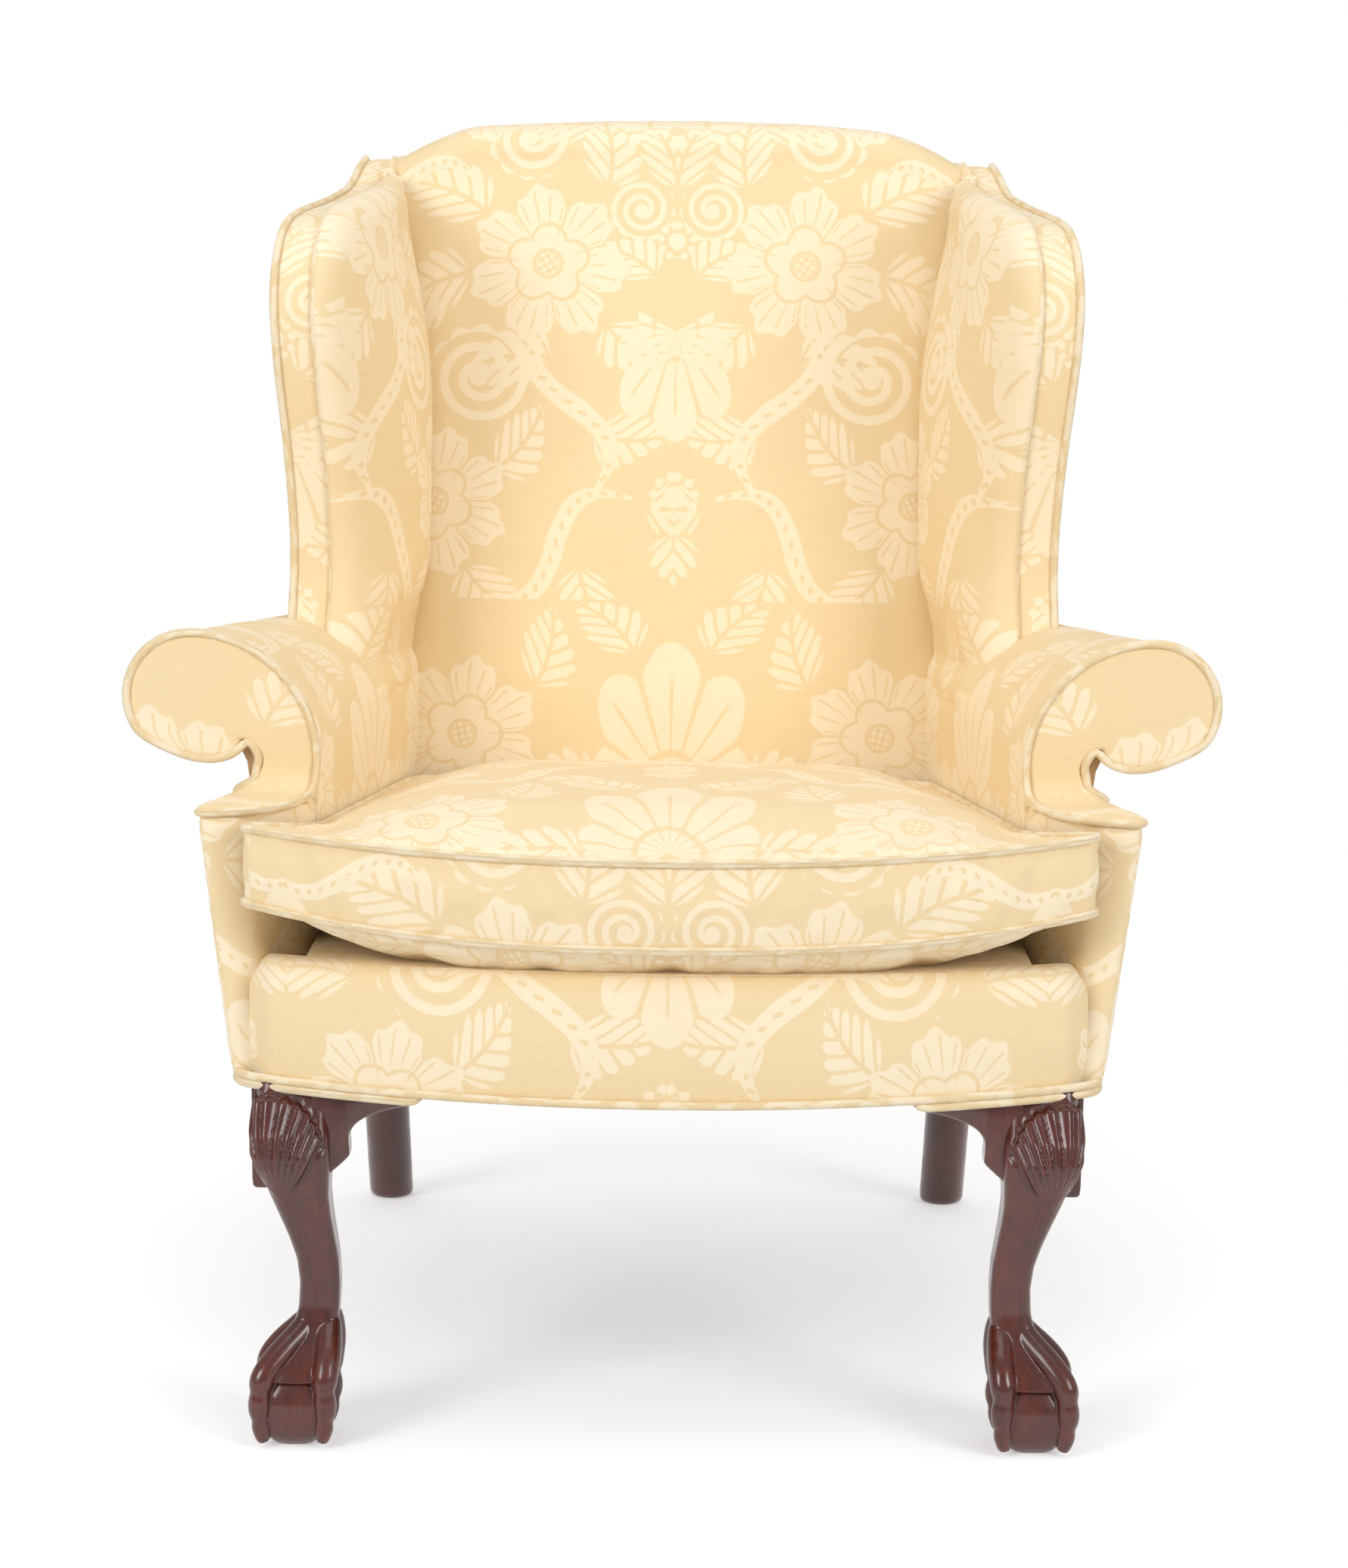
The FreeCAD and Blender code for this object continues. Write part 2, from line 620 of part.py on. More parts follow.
def seat_deck():
    """Padded deck that closes the seat under the cushion."""
    front = read(bow_y("dims.seat_half - 3", "dims.border_thickness")) + 1
    middle = D.skirt_corner_y - D.front_bow + D.border_thickness + 4
    rear = inside_back_y(D.back_foam_base) - 3
    face = D.arm_face_y
    half = [(0, middle), (D.seat_half * 0.5, (3 * middle + front) / 4), (D.seat_half - 3, front),
            (inside_arm_x(face) - 1, face), (inside_arm_x(rear) - 1, rear)]
    points = half + [(-x, y) for x, y in reversed(half) if x]
    return level_plate(points, lambda y: deck_z(y) - D.deck_thickness, deck_z)


def flat_cover(outline, z):
    """A thin sheet under the seat."""
    corners = [V(x, y, z) for x, y in outline]
    return Part.Face(Part.makePolygon(corners + corners[:1])).extrude(V(0, 0, -D.sheet_thickness))


def dust_cover():
    front = read(POST_BACK) + 2
    rear = rail_end_y(D.rail_bottom) + 8
    half = read(POST_IN) - 24
    rear_half = post_outer_x() - D.post_width - 4
    outline = [(-half, front), (half, front), (rear_half, rear), (-rear_half, rear)]
    return flat_cover(outline, D.rail_bottom - D.clearance)


# Arms

def arm_radii(y):
    """Roll and scroll radii at a depth; both taper towards the back."""
    rear = outside_back_y(D.arm_top)
    share = (y - D.arm_face_y) / (rear - D.arm_face_y)
    scroll = D.scroll_radius + (D.scroll_back_radius - D.scroll_radius) * share
    return D.roll_radius * scroll / D.scroll_radius, scroll


def arm_outline(y, inset, foot, inner_gap):
    """Roll, scroll and neck at a depth, seen from the front, down to the foot height."""
    roll, scroll = arm_radii(y)
    left = inside_arm_x(y) + inset
    centre_x, top = inside_arm_x(y) + roll, arm_top_z(y)
    roll_z, scroll_z = top - roll, top - scroll
    roll, scroll = roll - inset, scroll - inset
    slant = math.sqrt(0.5)
    notch = (centre_x - 0.75 * scroll, scroll_z - 0.661 * scroll)
    under = (centre_x - 0.414 * scroll, scroll_z - 0.910 * scroll)
    neck = left + inner_gap
    return [((left, foot),), ((left, roll_z), (centre_x - slant * roll, roll_z + slant * roll)),
            ((centre_x, top - inset), (centre_x + slant * scroll, scroll_z + slant * scroll)),
            ((centre_x + scroll, scroll_z), (centre_x + slant * scroll, scroll_z - slant * scroll)),
            ((centre_x, scroll_z - scroll), under), (notch,), ((neck, notch[1]),), ((neck, foot),)]


def standing(y):
    return lambda x, z: V(x, y, z)


def neck_outer_x():
    """Outside of the neck under the scroll, at the arm front."""
    return inside_arm_x(D.arm_face_y) + 0.62 * D.roll_radius - D.panel_thickness


def arm_pad():
    """Padding of the inside of the arm, rolled over into the scroll."""
    low = D.rail_bottom + D.side_rail_depth + 6
    rear_y = outside_back_y(D.arm_top) + 10
    wires = [closed_wire(arm_outline(y, 0, low, D.arm_foam), standing(y)) for y in (D.arm_face_y, rear_y)]
    return Part.makeLoft(wires, True, True)


def arm_stump():
    """Sawn front board of the arm: scroll, neck and foot on the side rail."""
    face, inset, thickness = D.arm_face_y, 7, 30
    low = D.rail_bottom + D.side_rail_depth + D.clearance
    profile = arm_outline(face, inset, low, 0)[:-2]
    neck_x = neck_outer_x() - 1.5
    low_x = side_x(face) - D.panel_thickness - 2
    notch = profile[-1][0]
    profile += [((neck_x, notch[1] - 26),), ((low_x, low),)]
    return Part.Face(closed_wire(profile, standing(face + D.clearance))).extrude(V(0, thickness, 0))


def arm_rail():
    """Rail from the arm front to the back post, inside the roll."""
    height, width = 36, 30
    wires = []
    for y, lean in ((D.arm_face_y + 31, 0), (rail_end_y(D.arm_top) - 14, D.back_rake_out)):
        top = arm_top_z(y) - 0.55 * arm_radii(y)[0]
        left = inside_arm_x(y) + D.arm_foam + 3
        corners = [V(x, y - lean * (top - z), z) for x, z in ((left, top - height), (left + width, top - height),
                                                              (left + width, top), (left, top))]
        wires.append(Part.makePolygon(corners + corners[:1]))
    return Part.makeLoft(wires, True, True)


def arm_facing():
    """Covered panel on the arm front that sweeps forward into the ledge."""
    face, top = D.arm_face_y, D.ledge_top
    low = top - D.ledge_sheet
    profile = arm_outline(face, 0, low, 0)[:-2]
    notch = profile[-1][0]
    neck_x = neck_outer_x() + D.panel_thickness
    profile[-1] = (notch, (neck_x - 7, notch[1] - 14))
    profile += [((neck_x, notch[1] - 30),), ((neck_x, low),)]
    panel = Part.Face(closed_wire(profile, standing(face))).extrude(V(0, -D.facing_thickness, 0))
    front = face - D.facing_thickness
    cove = D.cove_radius
    hollow = [((front, top + cove), (front - 0.293 * cove, top + 0.293 * cove)), ((front - cove, top),),
              ((front - cove, low),), ((front, low),)]
    start_x = inside_arm_x(face) + 2
    fill = Part.Face(closed_wire(hollow, lambda y, z: V(start_x, y, z))).extrude(V(neck_x - start_x, 0, 0))
    ledge = Part.Face(closed_wire(nose_outline(1.0), lambda x, y: V(x, y, low))).extrude(V(0, 0, D.ledge_sheet))
    return panel.multiFuse([fill, ledge]).removeSplitter().Solids[0]


def nose_outline(share):
    """Plan of the arm's nose, from the rail (0) up to the ledge (1)."""
    face, inner = D.arm_face_y, inside_arm_x(D.arm_face_y)

    def mix(low, high):
        return low + (high - low) * share

    corner = mix(D.side_bottom_half, D.ledge_corner_half)
    front = mix(D.skirt_corner_y + 8, face - D.ledge_reach)
    neck = mix(side_x(face), neck_outer_x() + D.panel_thickness)
    return [((inner + 0.5, face), (mix(inner + 11, inner + 17), mix(face - 65, face - 46))),
            ((mix(corner - 24, corner - 38), mix(front + 3, front + 14)), (corner - 16, front + 1)),
            ((corner - 4, front), (corner, front + 4)),
            ((corner + 1, front + 14), (mix(corner - 3, corner - 9), front + 58)), ((neck, face),)]


def arm_nose():
    """Rounded padded nose under the ledge, down to the rail."""
    top = D.ledge_top - D.ledge_sheet
    wires = []
    for share in (0.0, 0.5, 1.0):
        level = D.rail_bottom + (top - D.rail_bottom) * share
        wires.append(closed_wire(nose_outline(share), lambda x, y, z=level: V(x, y, z)))
    return Part.makeLoft(wires, True, True)


def outside_arm():
    """Stiffened cover from under the scroll down to the rail."""
    thickness, low = D.panel_thickness, D.rail_bottom
    front_y = D.arm_face_y
    roll, scroll = arm_radii(front_y)
    top = arm_top_z(front_y) - scroll - 0.66 * scroll - 3
    upper, lower = neck_outer_x() + thickness, side_x(front_y)
    front = [V(upper - thickness, front_y, top), V(upper, front_y, top), V(lower, front_y, low),
             V(lower - thickness, front_y, low)]
    rear_top = arm_top_z(260) - 2 * arm_radii(260)[1] - 2
    rear = []
    for z, shift in ((rear_top, thickness), (rear_top, 0), (low, 0), (low, thickness)):
        y = outside_back_y(z) - D.panel_thickness
        rear.append(V(wing_x(y, z) - shift, y, z))
    return Part.makeLoft([Part.makePolygon(ring + ring[:1]) for ring in (front, rear)], True, True)


def arm_welt():
    """Piping round the scroll, down the inner edge and along the front of the ledge."""
    front = D.arm_face_y - D.facing_thickness
    roll, scroll = arm_radii(D.arm_face_y)
    out = 1.5
    centre_x, top = inside_arm_x(D.arm_face_y) + roll, arm_top_z(D.arm_face_y)
    neck_x = neck_outer_x() + D.panel_thickness + out
    notch_z = top - 1.661 * scroll
    path = [V(neck_x, front, D.ledge_top + 6), V(neck_x - 3, front, notch_z - 16),
            V(centre_x - 0.9 * scroll, front, notch_z - 2)]
    for degrees in (-104, -62, -20, 22, 62):
        angle = math.radians(degrees)
        reach = (scroll + out) / math.cos(math.radians(21))
        path.append(V(centre_x + reach * math.cos(angle), front, top - scroll + reach * math.sin(angle)))
    for degrees in (101, 123, 145, 167):
        angle = math.radians(degrees)
        reach = (roll + out) / math.cos(math.radians(11))
        path.append(V(centre_x + reach * math.cos(angle), front, top - roll + reach * math.sin(angle)))
    edge = inside_arm_x(D.arm_face_y) - out
    lip = D.ledge_top - D.ledge_sheet / 2
    corner_x, corner_y = D.ledge_corner_half, D.arm_face_y - D.ledge_reach
    path += [V(edge, front, top - roll - 8), V(edge, front - 2, lip + 18), V(edge + 5, front - 12, lip + 4),
             V(edge + 16, corner_y + 45, lip), V(corner_x - 42, corner_y + 11, lip),
             V(corner_x - 4, corner_y - out - 1, lip)]
    return piping(path, D.welt_radius)


# Wings

def on_wing(depth):
    """Place a side-view point a depth inside the wing's outer plane."""
    return lambda y, z: V(wing_x(y, z) - depth, y, z)


def wing_edge(inset):
    """Side view of the wing's front and top edge: concave front, round corner, rising end."""
    y, z, top, hollow = D.wing_front_y, D.wing_widest_z, D.wing_top, D.wing_setback
    points = [((y + 10, z - 300), (y + hollow + 3, z - 186)), ((y + 13, z - 60), (y + 2, z - 5)),
              ((y + 15, z + 36), (y + 36, z + 65)), ((y + 82, z + 88),),
              ((y + 242, top - 24), (y + 280, top - 14)), ((y + 311, top),)]
    return [tuple((u + inset, w - inset) for u, w in corner) for corner in points]


def wing_profile(inset):
    """Closed side view; it reaches down into the arm, and its rear follows the outside back."""
    low = D.wing_widest_z - 335
    end_z = D.wing_top + 4 - inset
    rear = D.panel_thickness
    edge = wing_edge(inset)
    return [((edge[0][0][0], low),)] + edge + [((outside_back_y(end_z) - rear, end_z),),
                                                ((outside_back_y(low) - rear, low),)]


def wing_slab(inset, outer, inner):
    """The wing between two depths inside its outer plane."""
    face = Part.Face(closed_wire(wing_profile(inset), on_wing(outer)))
    return face.extrude(V(outer - inner, 0, 0))


def wing_pad():
    """Padded inside of the wing: thin along the piping, full where it meets the back."""
    prism = Part.Face(closed_wire(wing_profile(D.wing_band), on_wing(-60))).extrude(V(-260, 0, 0))
    wires = []
    for z, half in ((D.wing_widest_z - 340, D.wing_pad_half + 3), (D.wing_widest_z - 60, D.wing_pad_half),
                    (D.wing_top + 10, D.shoulder_half - 2)):
        front, rear = D.wing_front_y - 6, outside_back_y(z) - D.panel_thickness
        root = inside_back_y(z) - 30
        plan = [(wing_x(front, z) - D.panel_thickness, front), (wing_x(rear, z) - D.panel_thickness, rear),
                (half, rear), (half, root), (wing_x(front, z) - D.wing_boxing, front)]
        corners = [V(x, y, z) for x, y in plan]
        wires.append(Part.makePolygon(corners + corners[:1]))
    return prism.common(Part.makeLoft(wires, True, True)).Solids[0]


def wing_frame():
    """Sawn post and top rail of the wing."""
    y, z, hollow = D.wing_front_y, D.wing_widest_z, D.wing_setback
    inset, width = 12, 38
    front = [(y + hollow + inset - 2, z - 225), (y + hollow + inset, z - 150), (y + inset + 8, z - 40),
             (y + inset + 6, z + 20)]
    post = front + [(u + width, w) for u, w in reversed(front)]
    top = D.wing_top - 24 - inset
    rear = [outside_back_y(level) - D.panel_thickness - D.post_depth for level in (top - width, top)]
    rail = [(y + inset + 6, z + 20.3), (y + inset + 6 + width, z + 20.3), (y + 94, z + 76 - width),
            (rear[0] - 0.3, top - width), (rear[1] - 0.3, top), (y + 94, z + 74), (y + 50, z + 50),
            (y + inset + 14, z + 22)]
    pieces = []
    for outline in (post, rail):
        ring = [on_wing(D.panel_thickness + 1)(*point) for point in outline]
        pieces.append(Part.Face(Part.makePolygon(ring + ring[:1])).extrude(V(-22, 0, 0)))
    return pieces


def wing_welt(depth):
    """Piping along the wing's edge, a depth inside its outer plane."""
    place = on_wing(depth)
    y, z, top, hollow = D.wing_front_y, D.wing_widest_z, D.wing_top, D.wing_setback
    out = 1.5
    path = [(y + 24, z - 262), (y + 37, z - 226), (y + hollow + 1, z - 180), (y + 30, z - 115), (y + 12, z - 60),
            (y + 2, z - 10), (y + 6, z + 22), (y + 22, z + 54), (y + 52, z + 79), (y + 100, z + 94),
            (y + 240, top - 23), (y + 280, top - 16), (y + 318, top + 3)]
    return piping([place(u - out, w + out) for u, w in path], D.welt_radius)


# Back

def back_pad():
    """Padded inside back with its crowned face and rolled crest."""
    half = D.shoulder_half
    wires = []
    for share in (-1.0, -0.87, -0.674, -0.34, 0, 0.34, 0.674, 0.87, 1.0):
        x = share * half
        top = crest_z(x)
        recess = D.back_crown * share ** 2
        roll = (outside_back_y(top) - D.panel_thickness - inside_back_y(top) - recess) / 2
        low, front_z, rear_z = D.back_foam_base, top - roll, top - roll * 0.8
        foot, shoulder = inside_back_y(low) + recess, inside_back_y(front_z) + recess
        rear = outside_back_y(rear_z) - D.panel_thickness
        crest_y = (shoulder + rear) / 2 + 3
        middle_z = (low + front_z) / 2
        points = [((foot, low), (inside_back_y(middle_z) + recess - 2 - 8 * (1 - share ** 2), middle_z)),
                  ((shoulder, front_z), (crest_y - roll * 0.72, top - roll * 0.27)),
                  ((crest_y, top), (crest_y + roll * 0.72, top - roll * 0.22)), ((rear, rear_z),),
                  ((outside_back_y(low) - D.panel_thickness, low),)]
        wires.append(closed_wire(points, lambda y, z, at=x: V(at, y, z)))
    return Part.makeLoft(wires, True, False)


def back_hollow():
    """Space between the posts behind the back's padding, where the webbing runs."""
    low, high = D.back_foam_base - 2, post_top_z() - 4
    half = post_outer_x() - D.post_width
    outline = []
    for z, depth in ((low, 0), (high, 0), (high, D.post_depth + 2), (low, D.post_depth + 2)):
        outline.append(V(-half, outside_back_y(z) - D.panel_thickness - depth, z))
    return Part.Face(Part.makePolygon(outline + outline[:1])).extrude(V(2 * half, 0, 0))


def back_webbing():
    """Straps stretched between the posts behind the padding."""
    low, high = D.back_foam_base + 90, post_top_z() - 88
    half = post_outer_x() - D.post_width - D.clearance
    straps = []
    count = int(D.webbing_count)
    for index in range(count):
        z = low + (high - low) * index / (count - 1)
        ring = []
        for level, depth in ((z, D.post_depth), (z + D.webbing_width, D.post_depth),
                             (z + D.webbing_width, D.post_depth - D.sheet_thickness),
                             (z, D.post_depth - D.sheet_thickness)):
            ring.append(V(-half, outside_back_y(level) - D.panel_thickness - depth, level))
        straps.append(Part.Face(Part.makePolygon(ring + ring[:1])).extrude(V(2 * half, 0, 0)))
    return Part.makeCompound(straps)


def outside_back():
    """Stiffened cover over the whole back, from the rail to the crest's roll."""
    low, drop = D.rail_bottom, 32
    plateau = D.crest_plateau_half
    half = wing_x(outside_back_y(D.wing_top), D.wing_top)
    low_half = wing_x(outside_back_y(low), low)
    shoulder_x = (plateau + D.shoulder_half) / 2
    shoulder = crest_z(D.shoulder_half)

    def place(x, z):
        return V(x, outside_back_y(z), z)

    points = [((-low_half, low),), ((low_half, low),), ((half, shoulder - 12),), ((D.shoulder_half, shoulder - 12),
              (shoulder_x + 6, crest_z(shoulder_x) - drop + 4)), ((plateau, crest_z(plateau) - drop),
              (0, D.crest_top - drop)), ((-plateau, crest_z(plateau) - drop),
              (-shoulder_x - 6, crest_z(shoulder_x) - drop + 4)), ((-D.shoulder_half, shoulder - 12),),
              ((-half, shoulder - 12),)]
    return Part.Face(closed_wire(points, place)).extrude(V(0, -D.panel_thickness, 0))


# Cushion

def cushion_plan(share, inset):
    """Plan of the T-shaped cushion at a share of its boxing's height, drawn in by an inset."""
    gap = D.cushion_gap + inset
    level = D.deck_front_z - 20 + D.cushion_belly + share * D.cushion_boxing
    rear = inside_back_y(level) - D.cushion_gap - 9 - inset
    face, corner = D.arm_face_y, D.cushion_corner_half - inset
    front = D.cushion_front_y + inset
    corner_y = D.cushion_front_y + D.cushion_bow + inset
    ear_y = face - D.ledge_reach - 20 - inset * 0.5
    side_front, side_rear = inside_arm_x(face + 12) - gap, inside_arm_x(rear - 24) - gap
    half = [((corner - 14, corner_y - 6), (corner - 3, corner_y - 1)), ((corner, corner_y + 12),), ((corner, ear_y),
            (inside_arm_x(face) + 8 - gap, (ear_y + face) / 2 - 12 - gap * 0.3)), ((side_front, face + 12),),
            ((side_rear, rear - 24), (side_rear - 5, rear - 5)), ((side_rear - 24, rear),)]
    points = list(half)
    mirror = [tuple((-u, w) for u, w in corner) for corner in half]
    for index in range(len(half) - 1, -1, -1):
        start = mirror[index][0]
        bend = mirror[index - 1][1] if index and len(mirror[index - 1]) == 2 else None
        points.append((start, bend) if bend else (start,))
    points[-1] = (points[-1][0], (0, front))
    return points


def cushion_level(height, share, scale, shrink):
    """The plan as a wire at a height above the cushion's lower piping, pitched like the deck."""
    base = D.deck_front_z + D.cushion_belly + 1
    middle = D.cushion_front_y / 3

    def place(x, y):
        depth = middle + (y - middle) * scale
        return V(x * scale, depth, base + height - D.seat_pitch * (depth - D.cushion_front_y))

    return closed_wire(cushion_plan(share, shrink), place)


def cushion_block(shrink):
    """Crowned cushion whose boxing draws in between the pipings."""
    box, crown, belly = D.cushion_boxing, D.cushion_crown, D.cushion_belly
    low = [(shrink - belly, 0, 0.66), (shrink - belly * 0.75, 0, 0.85), (shrink * 0.5 - belly * 0.35, 0, 0.955)]
    wall = [(0, 0, 1), (box / 2, 0.5, 0.988), (box, 1, 1)]
    high = [(box + crown * 0.4 - shrink * 0.5, 1, 0.93), (box + crown * 0.8 - shrink, 1, 0.75),
            (box + crown - shrink, 1, 0.48)]
    parts = []
    for stack in (low + wall[:1], wall, wall[-1:] + high):
        wires = [cushion_level(height, share, scale, shrink) for height, share, scale in stack]
        parts.append(Part.makeLoft(wires, True, True))
    return parts[0].multiFuse(parts[1:])


def cushion_welt(share):
    """Piping round the cushion at one of its seams."""
    base = D.deck_front_z + D.cushion_belly + 1 + share * D.cushion_boxing
    plan = cushion_plan(share, -1.0)
    path = []
    for index, corner in enumerate(plan):
        following = plan[(index + 1) % len(plan)]
        path.append(corner[0])
        chord = math.dist(corner[0], following[0])
        if len(corner) == 2 and chord > 60:
            a, via, b = V(*corner[0], 0), V(*corner[1], 0), V(*following[0], 0)
            curve = Part.Arc(a, via, b)
            steps = max(2, int(chord / 90))
            for step in range(1, steps):
                at = curve.value(curve.FirstParameter
                                 + (curve.LastParameter - curve.FirstParameter) * step / steps)
                path.append((at.x, at.y))
    points = [V(x, y, base - D.seat_pitch * (y - D.cushion_front_y)) for x, y in path]
    return piping(points, D.welt_radius, closed=True)


def zipper():
    """Zip placket let into the cushion's rear boxing."""
    rear = inside_back_y(D.deck_front_z - 20 + D.cushion_belly + D.cushion_boxing / 2) - D.cushion_gap - 12
    base = D.deck_front_z + D.cushion_belly + 1 + D.cushion_boxing / 2 - D.seat_pitch * (rear - D.cushion_front_y)
    return Part.makeBox(2 * D.zipper_half, 3, 18, V(-D.zipper_half, rear - 2, base - 9))


def lower_welt():
    """Piping along the lower edge of the front border, round both corners to the arms' covers."""
    level = D.rail_bottom + D.welt_radius
    out = D.welt_radius
    half = D.skirt_half
    side = [V(side_x(y) + out, y, level) for y in (-60, -150, -235)]
    front = [V(x, read(bow_y(str(x), "0")) - out, level) for x in (half - 22, 250, 150, 50)]
    right = side + [V(half + 7.5, D.skirt_corner_y + 24, level), V(half + 1, D.skirt_corner_y - 1, level)] + front
    left = [V(-point.x, point.y, level) for point in reversed(right)]
    return piping(right + left, D.welt_radius)


def behind_back():
    """Everything behind the outside back."""
    low, high, half = 200, 1200, 600
    outline = [V(-half, outside_back_y(low), low), V(-half, outside_back_y(high), high),
               V(-half, 900, high), V(-half, 900, low)]
    return Part.Face(Part.makePolygon(outline + outline[:1])).extrude(V(2 * half, 0, 0))


def build():
    front_rail()
    border = front_border()
    side_rails = side_rail()
    posts, rails = back_members()
    crest = crest_rail()
    bolts = mirrored([leg_bolts()])
    blocks = corner_blocks()
    node("corner_blocks", Part.makeCompound(blocks))
    node("leg_bolts", Part.makeCompound(bolts))

    leg = front_leg()
    both_sides("front_leg", leg)
    both_sides("knee_brackets", Part.makeCompound(knee_brackets(leg)))
    both_sides("rear_leg", cut_by(rear_leg(), bolts))

    springs, clips = seat_springs()
    node("seat_springs", springs)
    node("spring_clips", clips)
    node("seat_deck", cut_by(seat_deck(), mirrored([leg])))
    node("dust_cover", dust_cover())

    stump, arm_bar, welt = arm_stump(), arm_rail(), arm_welt()
    back = back_pad()
    outer_back = outside_back()
    node("outside_back", outer_back)
    wood = [leg, side_rails[0], posts[0].Shape, crest, rails[0].Shape, rails[1].Shape]
    pad = cut_by(arm_pad(), [back, stump, arm_bar, outer_back, behind_back()] + wood)
    facing = cut_by(arm_facing(), [welt])
    both_sides("inside_arm", cut_by(pad, [welt, facing]))
    both_sides("arm_stump", cut_by(stump, [side_rails[0]]))
    both_sides("arm_rail", arm_bar)
    both_sides("arm_facing", facing)
    both_sides("arm_welt", welt)
    low_welt = lower_welt()
    node("lower_welt", low_welt)
    nose = cut_by(arm_nose(), [border.Shape, leg, side_rails[0], welt, facing, low_welt, pad] + blocks)
    both_sides("arm_nose", nose)
    both_sides("outside_arm", cut_by(outside_arm(), [pad, side_rails[0], posts[0].Shape, low_welt, stump]))

    frame_post, frame_rail = wing_frame()
    inner_welt, outer_welt = wing_welt(D.wing_boxing), wing_welt(0)
    welts = [inner_welt, outer_welt]
    full_arm = [pad, back, outer_back, arm_bar]
    band = wing_slab(0, 0, D.wing_boxing).cut(wing_slab(D.wing_band, -20, D.wing_boxing + 20))
    both_sides("wing_boxing", cut_by(band, full_arm + welts))
    panel = cut_by(wing_slab(D.wing_band, 0, D.panel_thickness), full_arm + welts)
    both_sides("outside_wing", panel)
    members = [frame_post, frame_rail, panel, posts[0].Shape, crest]
    both_sides("inside_wing", cut_by(wing_pad(), full_arm + welts + members))
    both_sides("wing_post", cut_by(frame_post, [pad]))
    both_sides("wing_rail", cut_by(frame_rail, [back]))
    both_sides("wing_welt_inner", cut_by(inner_welt, [pad, back]))
    both_sides("wing_welt_outer", cut_by(outer_welt, [pad, back]))

    hollow = back_hollow()
    wooden = [post.Shape for post in posts] + [crest, rails[1].Shape, outer_back, hollow]
    node("inside_back", cut_by(back, wooden + mirrored([frame_rail, arm_bar])))
    node("back_webbing", back_webbing())

    welts = [cushion_welt(0), cushion_welt(1)]
    zip_strip = zipper()
    cover, core = cushion_block(0), cushion_block(D.cover_thickness)
    node("cushion_core", cut_by(core, [zip_strip] + welts))
    node("cushion_cover", cut_by(cover, [core, zip_strip] + welts))
    node("cushion_welt_lower", welts[0])
    node("cushion_welt_upper", welts[1])
    node("cushion_zipper", zip_strip)


def check_and_export():
    """Stop on a failed object, then write every sub-part to its own file."""
    DOC.recompute()
    for item in DOC.Objects:
        if "Invalid" in item.State or "Error" in item.State:
            raise RuntimeError(f"{item.Label} failed: {item.State}")
    os.makedirs("parts", exist_ok=True)
    for name, piece in NODES.items():
        shape = piece.Shape
        if shape.isNull() or not shape.isValid() or not shape.Solids:
            raise RuntimeError(f"{name} has no valid solid")
        shape.exportStep(os.path.join("parts", name + ".step"))


build()
check_and_export()
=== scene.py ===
import bmesh
import bpy
import json
import math
import numpy as np
from mathutils import Matrix, Vector, kdtree, noise


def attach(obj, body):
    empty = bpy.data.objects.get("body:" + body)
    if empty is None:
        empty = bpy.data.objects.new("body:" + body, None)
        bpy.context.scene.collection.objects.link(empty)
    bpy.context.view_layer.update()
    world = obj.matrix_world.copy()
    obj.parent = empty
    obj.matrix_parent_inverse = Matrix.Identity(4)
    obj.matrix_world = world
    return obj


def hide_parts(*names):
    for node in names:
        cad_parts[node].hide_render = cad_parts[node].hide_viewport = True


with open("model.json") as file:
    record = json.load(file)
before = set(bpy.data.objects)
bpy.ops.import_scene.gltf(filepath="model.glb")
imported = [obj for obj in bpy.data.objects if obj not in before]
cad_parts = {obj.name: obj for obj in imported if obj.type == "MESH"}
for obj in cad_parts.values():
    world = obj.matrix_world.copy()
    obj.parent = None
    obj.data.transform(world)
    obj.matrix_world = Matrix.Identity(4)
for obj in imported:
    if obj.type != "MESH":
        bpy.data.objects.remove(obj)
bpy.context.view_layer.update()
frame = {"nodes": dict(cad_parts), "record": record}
NODES = frame["nodes"]
SIDES = {"right": 1, "left": -1}

# Sizes of the chair in metres, as in its construction
SEAT_HALF, SPLAY = 0.2965, 0.158
ARM_FACE, ARM_TOP, ARM_FALL = -0.187, 0.645, 0.06
ROLL, SCROLL, SCROLL_REAR = 0.104, 0.052, 0.038
FACING, PANEL, WELT = 0.008, 0.005, 0.0035
LEDGE_TOP, LEDGE_REACH, LEDGE_HALF = 0.513, 0.096, 0.382
RAIL_BOTTOM, RAIL_DEPTH = 0.300, 0.070
SKIRT_HALF, SKIRT_CORNER, BOW, BORDER_HEIGHT = 0.345, -0.322, 0.058, 0.098
SIDE_HALF = 0.352
BACK_FOOT_Y, RAKE_OUT = 0.250, 0.182
BACK_SEAT_Y, BACK_SEAT_Z, RAKE_IN, BACK_CROWN = 0.158, 0.500, 0.263, 0.016
BACK_BASE, CREST, PLATEAU, CREST_DROP = 0.392, 1.079, 0.186, 0.006
SHOULDER_HALF, SHOULDER_DROP = 0.276, 0.044
WING_HALF, WING_LEAN, WING_FRONT, WING_WIDEST = 0.353, 0.03, 0.013, 0.895
WING_BOXING, WING_TOP, WING_HOLLOW, WING_SEAM = 0.035, 1.027, 0.040, 0.638
FOOT_X, FOOT_Y, BALL = 0.301, -0.332, 0.034
REAR_FOOT_X, REAR_FOOT_Y, REAR_LEG, REAR_LEG_TOP = 0.2805, 0.3654, 0.022, 0.232
DECK_FRONT, PITCH = 0.400, 0.045
LOWER_WELT_END = 0.205
